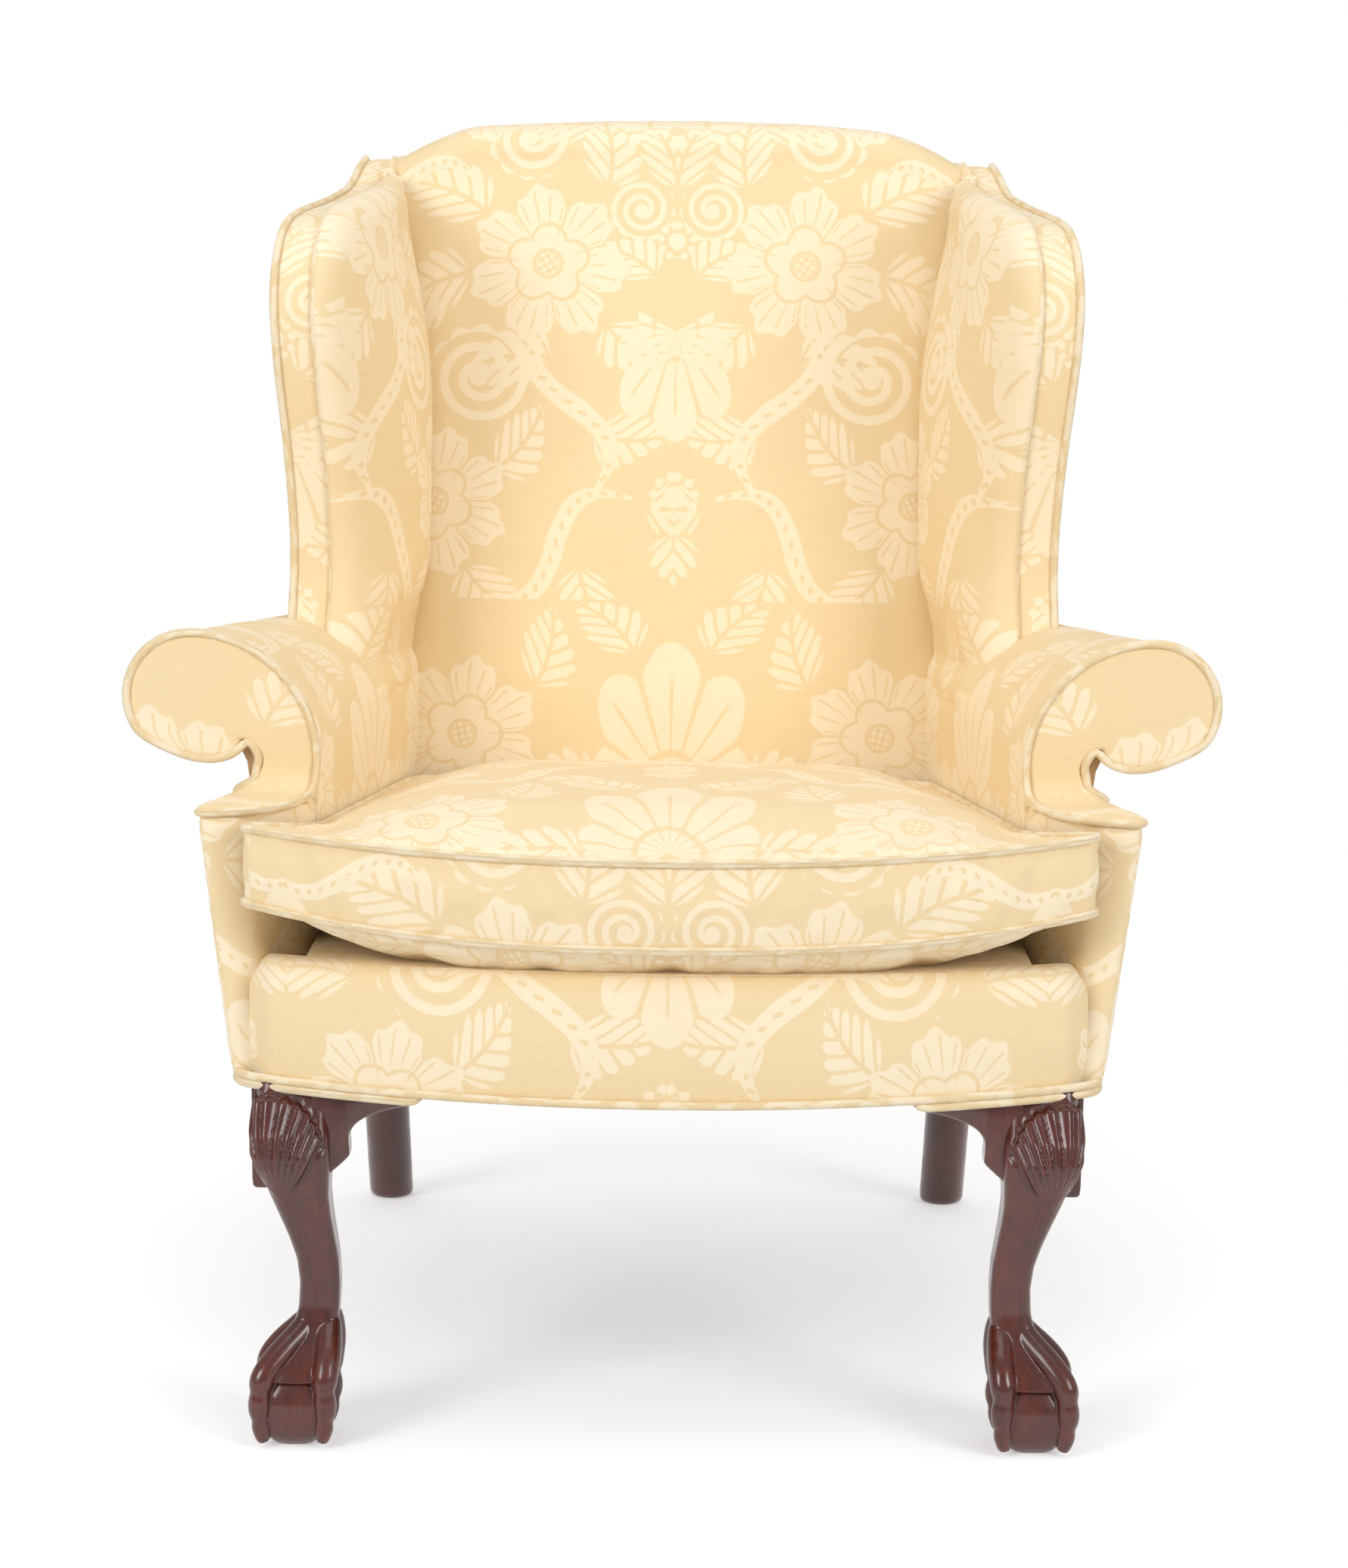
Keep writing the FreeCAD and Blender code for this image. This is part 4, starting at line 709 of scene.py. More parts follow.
DAMASK = damask("upholstery_damask")
PIPING = piping_cloth("damask_piping")
MAHOGANY = polish("polished_mahogany")


# Cushion

def cushion_front_y(x):
    """Bowed front of the cushion, an arc in plan."""
    radius = (CUSHION_HALF ** 2 + CUSHION_BOW ** 2) / (2 * CUSHION_BOW)
    return CUSHION_FRONT + radius - math.sqrt(radius ** 2 - x ** 2)


def cushion_rear_y(level):
    """Rear of the cushion, a gap in front of the inside back."""
    return inside_back_y(level) - CUSHION_GAP - 0.009


def cushion_ring(share, count):
    """Plan of the cushion's right half, front to rear, as (x, y), at a share of its boxing."""
    level = DECK_FRONT - 0.020 + BELLY + share * BOXING
    rear = cushion_rear_y(level)
    ear = ARM_FACE - LEDGE_REACH - EAR_GAP
    front = [(x, cushion_front_y(x)) for x in np.linspace(0, CUSHION_HALF - 0.016, 14)]
    corner = cushion_front_y(CUSHION_HALF)
    side = [(CUSHION_HALF - 0.002, corner - 0.003), (CUSHION_HALF, corner + 0.016),
            (CUSHION_HALF, ear - 0.002), (CUSHION_HALF - 0.022, ear + 0.014),
            (SEAT_HALF + 0.010, ear + 0.040),
            (inside_arm_x(ARM_FACE) - CUSHION_GAP + 0.001, ARM_FACE - 0.02)]
    side += [(inside_arm_x(y) - CUSHION_GAP, y) for y in np.linspace(ARM_FACE + 0.03, rear - 0.03, 8)]
    end = inside_arm_x(rear) - CUSHION_GAP
    back = [(end - 0.002, rear - 0.004), (end - 0.022, rear)]
    back += [(x, rear) for x in np.linspace(end - 0.05, 0, 6)]
    return evenly(rounded(np.array(front + side + back), 3), count)


def cushion_place(share):
    """Height of the cushion at a share of its boxing, as a function of depth."""
    base = DECK_FRONT + BELLY + 0.001 + share * BOXING
    return lambda y: base - PITCH * (y - CUSHION_FRONT)


def corner_lift(share, x, y):
    """The stuffing draws the front corners up, the lower seam more than the upper one."""
    ahead = 1 - float(smooth_step(0.0, 0.16, y - CUSHION_FRONT - CUSHION_BOW))
    return (0.016 + 0.009 * (1 - share)) * (abs(x) / CUSHION_HALF) ** 2.6 * ahead


def fullness(u, v, below):
    """How far the panel stands off its seams: the underside fills up close behind the front seam."""
    if below:
        front = math.sqrt(1 - (1 - min(1, v / 0.11)) ** 2)
        rear = math.sqrt(1 - (1 - min(1, (1 - v) / 0.10)) ** 2)
        return (1 - abs(u) ** 3) ** 0.8 * front * rear
    return (1 - abs(u) ** 3.2) ** 0.9 * math.sin(math.pi * v ** 0.8) ** 0.62 if v < 1 else 0.0


def cushion_panel(share, rise):
    """Grid of the top or bottom panel, between the ring's halves, with its crown."""
    columns, rows = 96, 76
    ring = cushion_ring(share, 181)
    rear = ring[-1, 1]
    shoulder = int(np.argmax(ring[:, 0] > CUSHION_HALF - 0.010))
    points = np.zeros((rows, columns, 3))
    level = cushion_place(share)
    side = ring[shoulder:]
    rear_start = int(np.argmax(side[:, 1] > rear - 0.006))
    front, side, back = ring[:shoulder + 1], side[:rear_start + 1], side[rear_start:][::-1]
    edge = evenly(side, rows)
    across = np.linspace(-1, 1, columns)
    front_line, rear_line = evenly(front, 200), evenly(back, 200)
    for column, u in enumerate(across):
        at = int(round(abs(u) * 199))
        start = front_line[at] * (math.copysign(1, u), 1)
        end = rear_line[at] * (math.copysign(1, u), 1)
        for row in range(rows):
            v = row / (rows - 1)
            straight = start * (1 - v) + end * v
            bend = edge[row, 1] - (edge[0, 1] * (1 - v) + edge[-1, 1] * v)
            points[row, column] = (u * edge[row, 0], straight[1] + bend * abs(u) ** 3, 0)
    for row in range(rows):
        for column in range(columns):
            u, v = across[column], row / (rows - 1)
            x, y, _ = points[row, column]
            points[row, column, 2] = level(y) + rise * fullness(u, v, rise < 0) + corner_lift(share, x, y)
    return points


def seat_cushion():
    """T-shaped cushion: crowned top, boxing that draws in between its seams, and a flatter underside."""
    top = cushion_panel(1, CROWN - 0.004)
    under = cushion_panel(0, -(BELLY + 0.003))

    def rim(grid):
        return np.vstack([grid[0], grid[1:, -1], grid[-1, ::-1][1:], grid[::-1, 0][1:]])

    upper, lower = rim(top), rim(under)
    steps = 15
    wall = np.zeros((steps, len(upper), 3))
    centre = np.array([0, CUSHION_FRONT / 3, 0])
    for step in range(steps):
        share = step / (steps - 1)
        ring = lower * (1 - share) + upper * share
        draw = -0.002 * math.sin(math.pi * share)
        away = ring - centre
        away[:, 2] = 0
        wall[step] = ring - away / np.linalg.norm(away, axis=1)[:, None] * draw
    along = lengths(upper)
    front_half = lengths(top[0])[-1] / 2
    spread = np.zeros((steps, len(upper), 2))
    for step in range(steps):
        spread[step, :, 0] = along - front_half
        spread[step, :, 1] = BOXING_CUT + BOXING * step / (steps - 1)
    top_spread = np.stack([top[:, :, 0], TOP_CUT + (top[:, :, 1] - CUSHION_FRONT)], axis=2)
    under_spread = np.stack([under[:, :, 0], UNDER_CUT - (under[:, :, 1] - CUSHION_FRONT)], axis=2)
    piece = cloth_mesh("seat_cushion_cover", [(top, top_spread), (wall, spread), (under, under_spread)])
    return piece, upper, lower


def swell_cloth(piece, held, pressure, frames, cap, slack):
    """Blow a cover up like a stuffed one, with its seams held; no point moves further than the cap."""
    group = piece.vertex_groups.new(name="seams")
    group.add([int(index) for index in held], 1.0, "REPLACE")
    rest = np.array([vertex.co for vertex in piece.data.vertices])
    cloth = piece.modifiers.new("stuffing", "CLOTH")
    sheet = cloth.settings
    sheet.quality = 6
    sheet.mass = 0.3
    sheet.tension_stiffness = sheet.compression_stiffness = 22
    sheet.shear_stiffness = 8
    sheet.bending_stiffness = 0.6
    sheet.use_pressure = True
    sheet.uniform_pressure_force = pressure
    sheet.vertex_group_mass = group.name
    sheet.shrink_min = -slack
    sheet.effector_weights.gravity = 0
    cloth.collision_settings.use_collision = False
    scene = bpy.context.scene
    for number in range(1, frames + 1):
        scene.frame_set(number)
    graph = bpy.context.evaluated_depsgraph_get()
    shaped = piece.evaluated_get(graph)
    moved = np.array([vertex.co for vertex in shaped.data.vertices])
    piece.modifiers.remove(cloth)
    piece.vertex_groups.clear()
    change = moved - rest
    size = np.linalg.norm(change, axis=1)
    change *= np.minimum(1, cap / np.maximum(size, 1e-9))[:, None]
    piece.data.vertices.foreach_set("co", (rest + change).ravel())
    piece.data.update()
    scene.frame_set(1)


def skin(piece):
    """Places and normals of a piece's points."""
    places = np.array([vertex.co for vertex in piece.data.vertices])
    normals = np.array([vertex.normal for vertex in piece.data.vertices])
    return places, normals


def move_skin(piece, places, normals, amounts):
    """Move a piece's points along their normals."""
    piece.data.vertices.foreach_set("co", (places + normals * np.asarray(amounts)[:, None]).ravel())
    piece.data.update()


def settle_wrinkles(piece, size, depth):
    """Slow unevenness of stuffed cloth."""
    shift = Vector((3.1, 1.7, 0.4))
    places, normals = skin(piece)
    broad = [noise.noise(Vector(place) / size + shift) for place in places]
    small = [noise.noise(Vector(place) / size * 2.3 - shift) for place in places]
    move_skin(piece, places, normals, depth * (np.array(broad) + 0.5 * np.array(small)))


def pucker(piece, path, reach=0.016, depth=0.0009):
    """Small pulls in the cloth where it is gathered into a seam."""
    spacing, step = 0.011, 0.002
    path = evenly(path, int(lengths(np.asarray(path))[-1] / step))
    tree = kdtree.KDTree(len(path))
    for index, place in enumerate(path):
        tree.insert(place, index)
    tree.balance()
    places, normals = skin(piece)
    amounts = np.zeros(len(places))
    for number, place in enumerate(places):
        _, index, away = tree.find(place)
        if away < reach:
            along = index * step
            wander = noise.noise(Vector((along / 0.03, 0.3, 0.7))) * 2.5
            strength = 0.4 + 0.6 * abs(noise.noise(Vector((along / 0.07, 5.1, 1.9))))
            fade = (1 - away / reach) ** 1.5 * min(1, away / 0.004)
            amounts[number] = depth * strength * fade * math.sin(2 * math.pi * along / spacing + wander)
    move_skin(piece, places, normals, amounts)


def near(piece, path, reach):
    """The numbers of a piece's points that lie near a path."""
    places = np.array([vertex.co for vertex in piece.data.vertices])
    found = []
    for index, place in enumerate(places):
        if np.min(np.sum((path - place) ** 2, axis=1)) < reach ** 2:
            found.append(index)
    return found


# Piping

def piping_tree():
    """Geometry Nodes tree: a round piping with its cloth coordinates along a curve."""
    tree = bpy.data.node_groups.new("piping", "GeometryNodeTree")
    face = tree.interface
    face.new_socket("Geometry", in_out="INPUT", socket_type="NodeSocketGeometry")
    for label, kind in (("Radius", "NodeSocketFloat"), ("Finish", "NodeSocketMaterial")):
        face.new_socket(label, in_out="INPUT", socket_type=kind)
    face.new_socket("Geometry", in_out="OUTPUT", socket_type="NodeSocketGeometry")
    board = Board(tree)
    given = board.make("NodeGroupInput")
    result = board.make("NodeGroupOutput")
    along = board.make("GeometryNodeCaptureAttribute", domain="POINT")
    along.capture_items.new("FLOAT", "along")
    length = board.make("GeometryNodeSplineParameter")
    board.feed(along.inputs["Geometry"], given.outputs["Geometry"])
    board.feed(along.inputs["along"], length.outputs["Length"])
    ring = board.make("GeometryNodeCurvePrimitiveCircle", mode="RADIUS")
    ring.inputs["Resolution"].default_value = 12
    board.feed(ring.inputs["Radius"], given.outputs["Radius"])
    around = board.make("GeometryNodeCaptureAttribute", domain="POINT")
    around.capture_items.new("FLOAT", "around")
    girth = board.make("GeometryNodeSplineParameter")
    board.feed(around.inputs["Geometry"], ring.outputs["Curve"])
    board.feed(around.inputs["around"], girth.outputs["Length"])
    tube = board.make("GeometryNodeCurveToMesh")
    tube.inputs["Fill Caps"].default_value = True
    board.feed(tube.inputs["Curve"], along.outputs["Geometry"])
    board.feed(tube.inputs["Profile Curve"], around.outputs["Geometry"])
    place = board.make("ShaderNodeCombineXYZ")
    board.feed(place.inputs["X"], along.outputs["along"])
    board.feed(place.inputs["Y"], around.outputs["around"])
    store = board.make("GeometryNodeStoreNamedAttribute", data_type="FLOAT2", domain="CORNER")
    store.inputs["Name"].default_value = "cloth"
    board.feed(store.inputs["Geometry"], tube.outputs["Mesh"])
    board.feed(store.inputs["Value"], place.outputs[0])
    finish = board.make("GeometryNodeSetMaterial")
    board.feed(finish.inputs["Geometry"], store.outputs["Geometry"])
    board.feed(finish.inputs["Material"], given.outputs["Finish"])
    smooth = board.make("GeometryNodeSetShadeSmooth")
    board.feed(smooth.inputs["Geometry"], finish.outputs["Geometry"])
    real = board.make("GeometryNodeRealizeInstances")
    board.feed(real.inputs["Geometry"], smooth.outputs["Geometry"])
    board.feed(result.inputs["Geometry"], real.outputs["Geometry"])
    return tree


PIPING_TREE = piping_tree()
PIPING_STEP = 0.004


def grow(name, source, tree, inputs):
    """Run a Geometry Nodes tree on a piece and keep the result as a plain mesh."""
    modifier = source.modifiers.new("tree", "NODES")
    modifier.node_group = tree
    for item in tree.interface.items_tree:
        if item.in_out == "INPUT" and item.name in inputs:
            modifier[item.identifier] = inputs[item.name]
    graph = bpy.context.evaluated_depsgraph_get()
    mesh = bpy.data.meshes.new_from_object(source.evaluated_get(graph))
    mesh.name = name
    source.modifiers.remove(modifier)
    bpy.data.objects.remove(source)
    return new_object(name, mesh)


def piping(name, path, closed=False):
    """Covered cord along a path."""
    path = evenly(path, int(lengths(np.asarray(path))[-1] / PIPING_STEP))
    data = bpy.data.curves.new(name + "_line", "CURVE")
    data.dimensions = "3D"
    spline = data.splines.new("POLY")
    spline.points.add(len(path) - 1)
    for point, place in zip(spline.points, path):
        point.co = (*place, 1)
    spline.use_cyclic_u = closed
    return grow(name, new_object(name + "_line", data), PIPING_TREE, {"Radius": WELT, "Finish": PIPING})


# Inside back

def back_grid():
    """Grid of the inside back from its foot over the crest to the outside cover."""
    rows_front, rows_roll = 70, 26
    stations = np.concatenate([np.linspace(-1, -0.8, 12)[:-1], np.linspace(-0.8, 0.8, 61),
                               np.linspace(0.8, 1, 12)[1:]])
    columns = []
    for share in stations:
        x = share * SHOULDER_HALF
        top = crest_z(x)
        recess = BACK_CROWN * share ** 2
        tuck = 0.010 * float(smooth_step(0.80, 1.0, abs(share)))
        roll = (outside_back_y(top) - PANEL - inside_back_y(top) - recess) / 2
        front_z, rear_z = top - roll, top - 0.8 * roll
        profile = []
        for height in np.linspace(BACK_BASE, front_z, rows_front):
            rise = (height - BACK_BASE) / (front_z - BACK_BASE)
            full = 0.009 * (1 - share ** 2) * math.sin(math.pi * rise)
            profile.append((x, inside_back_y(height) + recess + tuck - full, height))
        shoulder = inside_back_y(front_z) + recess + tuck
        rear = outside_back_y(rear_z) - PANEL
        middle, half = (shoulder + rear) / 2, (rear - shoulder) / 2
        for angle in np.linspace(0, math.pi, rows_roll)[1:]:
            base = front_z + (rear_z - front_z) * angle / math.pi
            swing = math.sin(angle) ** 0.9
            profile.append((x, middle - half * math.cos(angle), base + (top - base) * swing))
        profile.append((x, outside_back_y(rear_z - 0.05) - PANEL - 0.01, rear_z - 0.05))
        columns.append(profile)
    return np.array(columns).transpose(1, 0, 2)


def inside_back():
    """Pad of the inside back with its rolled crest."""
    points = back_grid()
    spread = spread_of(points, (0.0, BACK_BASE))
    spread[:, :, 0] = points[:, :, 0]
    piece = cloth_mesh("inside_back_pad", [(points, spread)])
    give_thickness(piece, BACK_WALL)
    finish(piece, DAMASK, 1)
    settle(piece)
    settle_wrinkles(piece, size=0.08, depth=0.0012)
    return piece


# Wings

WING_STEPS, BAND_STEPS, PAD_STEPS, COVER_STEPS = 120, 9, 41, 25
ROOT_HALF, ROOT_FLARE, ROOT_TUCK = 0.2385, 0.036, 0.014


def wing_path(depth, out=0.0):
    """Edge of the wing, a depth inside its outer plane, from the arm up and back to the crest."""
    y, z, top = WING_FRONT, WING_WIDEST, WING_TOP
    side = [(y + 0.004, z - 0.350), (y + 0.010, z - 0.300), (y + 0.024, z - 0.262), (y + 0.037, z - 0.226),
            (y + WING_HOLLOW + 0.001, z - 0.180), (y + 0.030, z - 0.115), (y + 0.012, z - 0.060),
            (y + 0.001, z - 0.010), (y + 0.002, z + 0.026), (y + 0.018, z + 0.060), (y + 0.050, z + 0.085),
            (y + 0.100, z + 0.094), (y + 0.170, z + 0.100), (y + 0.240, top - 0.023),
            (y + 0.280, top - 0.016), (y + 0.318, top + 0.003), (y + 0.345, top + 0.012)]
    path = rounded(np.array(side), 4)
    path = evenly(path, WING_STEPS) + np.array([-out, out])
    return np.array([(wing_x(u, w) - depth, u, w) for u, w in path])


def ruled(first, second, steps):
    """Grid between two paths with as many points."""
    return np.stack([first * (1 - share) + second * share for share in np.linspace(0, 1, steps)], axis=1)


def meet_arm(grid):
    """Low down the wing's inside lies flush on the arm's, with the seam of the two covers pulled in."""
    y, z = grid[:, :, 1], grid[:, :, 2]
    rise = np.clip((z - (arm_top_z(y) - ROLL)) / ROLL, 0, 0.6)
    arm = inside_arm_x(y) + ROLL * (1 - np.sqrt(1 - rise ** 2)) - 0.0015
    behind = smooth_step(0.0, 0.22, np.linspace(0, 1, grid.shape[1]))[None, :]
    share = (1 - smooth_step(0.590, 0.680, z)) * behind
    sunk = 0.010 * (1 - smooth_step(0.548, 0.575, z))
    seam = 0.0022 * np.exp(-((z - WING_SEAM) / 0.0035) ** 2)
    grid[:, :, 0] = grid[:, :, 0] * (1 - share) + arm * share + (sunk + seam) * behind
    return grid


def wing_boxing(side, sign, inner, outer):
    """Crowned band between the two pipings along the wing's front edge."""
    steps = np.linspace(0, 1, BAND_STEPS)
    band = ruled(outer, inner, BAND_STEPS)
    ahead = np.gradient(outer, axis=0)
    ahead /= np.linalg.norm(ahead, axis=1)[:, None]
    outward = np.cross(ahead, [1, 0, 0])
    outward /= np.linalg.norm(outward, axis=1)[:, None]
    if outward[WING_STEPS // 4, 1] > 0:
        outward = -outward
    crown = 0.0022 * np.sin(math.pi * steps)
    band = band + outward[:, None] * crown[None, :, None]
    sunk = outward * 0.006
    hidden = ruled(outer - sunk, inner - sunk, BAND_STEPS)
    across = np.tile(steps * WING_BOXING, (WING_STEPS, 1))
    along = np.tile(lengths(outer)[:, None], (1, BAND_STEPS))
    spread = np.stack([across, along], axis=2)
    grids = [(band, spread), (hidden, spread)]
    for edge in (0, -1):
        grids.append((np.stack([band[:, edge], hidden[:, edge]], axis=1), spread[:, :2]))
    boxing = cloth_mesh("wing_boxing_band_" + side, [(flipped(grid, sign), cut) for grid, cut in grids])
    finish(boxing, DAMASK, 1)
    put(boxing, "chair", "upholstery_damask", "wing_boxing_" + side)


def wing_root(inner):
    """Line where the wing's inside meets the inside back."""
    root = []
    for _, y, z in inner:
        share = float(smooth_step(0.60, 1.03, z))
        height = z + 0.004 * share
        across = ROOT_HALF + ROOT_FLARE * float(smooth_step(0.80, 1.04, z)) ** 1.2
        depth = inside_back_y(height) + ROOT_TUCK
        root.append((across, max(depth, y - 0.01), height))
    return np.array(root)


def wing_pad(side, sign, inner):
    """Crowned pad of the wing's inside, rolled over its piping and tucked in at the back."""
    root = wing_root(inner)
    grid = ruled(inner, root, PAD_STEPS)
    t = np.linspace(0, 1, PAD_STEPS)[None, :]
    width = np.linalg.norm(root - inner, axis=1)[:, None]
    full = np.minimum(0.022, width * 0.12) * np.sin(math.pi * t ** 0.75) ** 0.8
    tuck = -0.012 * smooth_step(0.90, 1.0, t)
    rolled = np.minimum(0.004, width * 0.03) * (1 - smooth_step(0, 0.05, t))
    normal = np.cross(root - inner, np.gradient(inner, axis=0))
    normal /= np.linalg.norm(normal, axis=1)[:, None]
    normal[normal[:, 0] > 0] *= -1
    grid = grid + normal[:, None] * (full + tuck - rolled)[:, :, None]
    grid = meet_arm(grid)
    pad = cloth_mesh("inside_wing_pad_" + side, [(flipped(grid, sign), grid[:, :, 1:])])
    give_thickness(pad, WING_WALL)
    finish(pad, DAMASK, 1)
    settle(pad)
    settle_wrinkles(pad, size=0.06, depth=0.0010)
    pucker(pad, flipped(inner, sign), reach=0.012, depth=0.0006)
    put(pad, "chair", "upholstery_damask", "inside_wing_" + side)


def wing_cover(side, sign, outer):
    """Outside cover of the wing, from the boxing back to the outside back."""
    rear = np.array([(wing_x(outside_back_y(z), z), outside_back_y(z) + 0.001, z) for _, _, z in outer])
    panel = ruled(outer, rear, COVER_STEPS)
    t = np.linspace(0, 1, COVER_STEPS)[None, :]
    reach = np.linalg.norm(rear - outer, axis=1)[:, None]
    panel[:, :, 0] += np.minimum(0.004, reach * 0.02) * np.sin(math.pi * t)
    cover = cloth_mesh("outside_wing_cover_" + side, [(flipped(panel, sign), panel[:, :, 1:])])
    give_thickness(cover, COVER_WALL)
    finish(cover, DAMASK)
    put(cover, "chair", "upholstery_damask", "outside_wing_" + side)


def wing_pieces(side, sign):
    """Boxing band, inner pad, outside cover and pipings of one wing."""
    inner, outer = wing_path(WING_BOXING), wing_path(0)
    wing_boxing(side, sign, inner, outer)
    wing_pad(side, sign, inner)
    wing_cover(side, sign, outer)
    for label, depth in (("inner", WING_BOXING), ("outer", 0)):
        welt = piping(f"wing_piping_{label}_{side}", flipped(wing_path(depth, 0.0012), sign))
        put(welt, "chair", "damask_piping", f"wing_welt_{label}_{side}")


# Arms

def arm_section(y):
    """Skin of the arm at a depth: up the inner side, over the roll, round the scroll to its notch."""
    roll, scroll = arm_radii(y)
    left, top = inside_arm_x(y), arm_top_z(y)
    centre, roll_z, scroll_z = left + roll, top - roll, top - scroll
    points = [(left, z) for z in np.linspace(RAIL_BOTTOM + RAIL_DEPTH + 0.006, roll_z, 20)]
    for angle in np.linspace(0, math.pi / 2, 40)[1:]:
        points.append((centre - roll * math.cos(angle), roll_z + roll * math.sin(angle)))
    for angle in np.linspace(math.pi / 2, -math.radians(138), 70)[1:]:
        points.append((centre + scroll * math.cos(angle), scroll_z + scroll * math.sin(angle)))
    return np.array([(x, y, z) for x, z in evenly(points, 150)])


def arm_pad(side, sign):
    """Inside of the arm with its rolled top, cut off along the outside back."""
    depths = np.concatenate([[ARM_FACE], np.linspace(ARM_FACE + 0.004, 0.318, 60)])
    outer = np.array([arm_section(y) for y in depths])
    for section in outer:
        section[:, 1] = [min(y, outside_back_y(z) - 0.001) for _, y, z in section]
    girth = np.array([lengths(section) for section in outer])
    spread = np.stack([outer[:, :, 1], girth + ARM_CUT], axis=2)
    pad = cloth_mesh("inside_arm_pad_" + side, [(flipped(outer, sign), spread)])
    give_thickness(pad, ARM_WALL)
    settle_wrinkles(pad, size=0.05, depth=0.0009)
    finish(pad, DAMASK)
    put(pad, "chair", "upholstery_damask", "inside_arm_" + side)


def narrow_neck(points):
    """Draw the front of the arm in between its scroll and its ledge."""
    x, y, z = points[:, 0], points[:, 1], points[:, 2]
    height = smooth_step(0.512, 0.526, z) * (1 - smooth_step(0.538, 0.566, z))
    outer = smooth_step(0.318, 0.362, np.abs(x)) * (1 - smooth_step(-0.10, 0.02, y))
    moved = points.copy()
    moved[:, 0] -= np.sign(x) * 0.015 * height * outer
    return moved


def reshape(piece, rule):
    """Move a piece's points by a rule."""
    places = np.array([vertex.co for vertex in piece.data.vertices])
    piece.data.vertices.foreach_set("co", rule(places).ravel())
    piece.data.update()


def facing_welt_path():
    """Line of the piping round the arm's front."""
    out = 0.0015
    y = ARM_FACE - FACING
    roll, scroll = arm_radii(ARM_FACE)
    centre, top = inside_arm_x(ARM_FACE) + roll, ARM_TOP
    outer_neck = neck_x() + out
    notch = top - 1.661 * scroll
    lip = LEDGE_TOP - 0.0025
    path = [(outer_neck + 0.001, y + 0.006, LEDGE_TOP - 0.001), (outer_neck, y, LEDGE_TOP + 0.006),
            (outer_neck - 0.001, y, LEDGE_TOP + 0.018), (outer_neck - 0.006, y, notch - 0.012),
            (centre - 0.86 * scroll, y, notch - 0.001)]
    for degrees in np.linspace(-112, 80, 9):
        angle = math.radians(degrees)
        reach = (scroll + out) * 1.012
        path.append((centre + reach * math.cos(angle), y, top - scroll + reach * math.sin(angle)))
    for degrees in np.linspace(98, 172, 6):
        angle = math.radians(degrees)
        reach = (roll + out) * 1.006
        path.append((centre + reach * math.cos(angle), y, top - roll + reach * math.sin(angle)))
    edge = inside_arm_x(ARM_FACE) - out
    corner_y = ARM_FACE - LEDGE_REACH
    path += [(edge, y, top - roll - 0.004), (edge, y - 0.001, lip + 0.026),
             (edge + 0.001, y - 0.006, lip + 0.010), (edge + 0.006, y - 0.016, lip + 0.002),
             (edge + 0.016, corner_y + 0.045, lip),
             (edge + 0.030, corner_y + 0.022, lip), (LEDGE_HALF - 0.042, corner_y + 0.010, lip),
             (LEDGE_HALF - 0.014, corner_y - 0.001, lip), (LEDGE_HALF + 0.001, corner_y - 0.001, lip),
             (LEDGE_HALF + 0.001, corner_y + 0.012, lip), (LEDGE_HALF - 0.006, corner_y + 0.040, lip)]
    return narrow_neck(rounded(np.array(path), 3))


def arm_pieces(side, sign):
    """Pad, facing, nose, outside cover and piping of one arm."""
    arm_pad(side, sign)
    edge = flipped(facing_welt_path(), sign)
    facing = soften("arm_facing_panel_" + side, "arm_facing_" + side, voxel=0.0022, passes=8, swell=0.0008)
    reshape(facing, narrow_neck)
    pucker(facing, edge, reach=0.012, depth=0.0006)
    finish(facing, DAMASK)
    put(facing, "chair", "upholstery_damask", "arm_facing_" + side)
    nose = soften("arm_nose_pad_" + side, "arm_nose_" + side, voxel=0.004, passes=8, swell=0.0012, rounding=1)
    finish(nose, DAMASK)
    put(nose, "chair", "upholstery_damask", "arm_nose_" + side)
    cover = soften("outside_arm_cover_" + side, "outside_arm_" + side, voxel=0.003, passes=4, swell=0.0003)
    reshape(cover, narrow_neck)
    finish(cover, DAMASK)
    put(cover, "chair", "upholstery_damask", "outside_arm_" + side)
    welt = piping("arm_piping_" + side, edge)
    put(welt, "chair", "damask_piping", "arm_welt_" + side)


# Front border and the lower piping

def lower_dip(x):
    """The lower edge hangs a little in the middle of the front."""
    return -0.006 * (1 - (x / SKIRT_HALF) ** 2)


def front_border():
    """Padded border under the cushion, bowed in plan and rolled over at the top and at its ends."""
    height = BORDER_HEIGHT
    profile = [(0.0, 0.0)]
    for share in np.linspace(0.05, 1, 22):
        profile.append((0.0035 * math.sin(math.pi * share), height * 0.78 * share))
    for angle in np.linspace(0, math.pi / 2, 14)[1:]:
        profile.append((-0.020 * (1 - math.cos(angle)), height * 0.78 + height * 0.22 * math.sin(angle)))
    profile += [(-0.030, height * 0.997), (-0.045, height * 0.985)]
    columns = []
    for u in np.linspace(-1, 1, 121):
        x = u * SKIRT_HALF
        y = bow_y(x)
        end = float(smooth_step(0.90, 1.0, abs(u)))
        wrap = 0.016 * end ** 2
        column = []
        for out, up in profile:
            ease = up / height
            drop = 0.020 * end ** 3 * ease ** 3
            low = lower_dip(x) * (1 - ease)
            inward = math.copysign(0.004 * end ** 3, u)
            column.append((x - inward, y - out + wrap, RAIL_BOTTOM + up - drop + low))
        columns.append(column)
    points = np.array(columns).transpose(1, 0, 2)
    spread = spread_of(points, (0.0, BORDER_CUT))
    piece = cloth_mesh("front_border_pad", [(points, spread)])
    give_thickness(piece, BORDER_WALL)
    finish(piece, DAMASK, 1)
    return piece


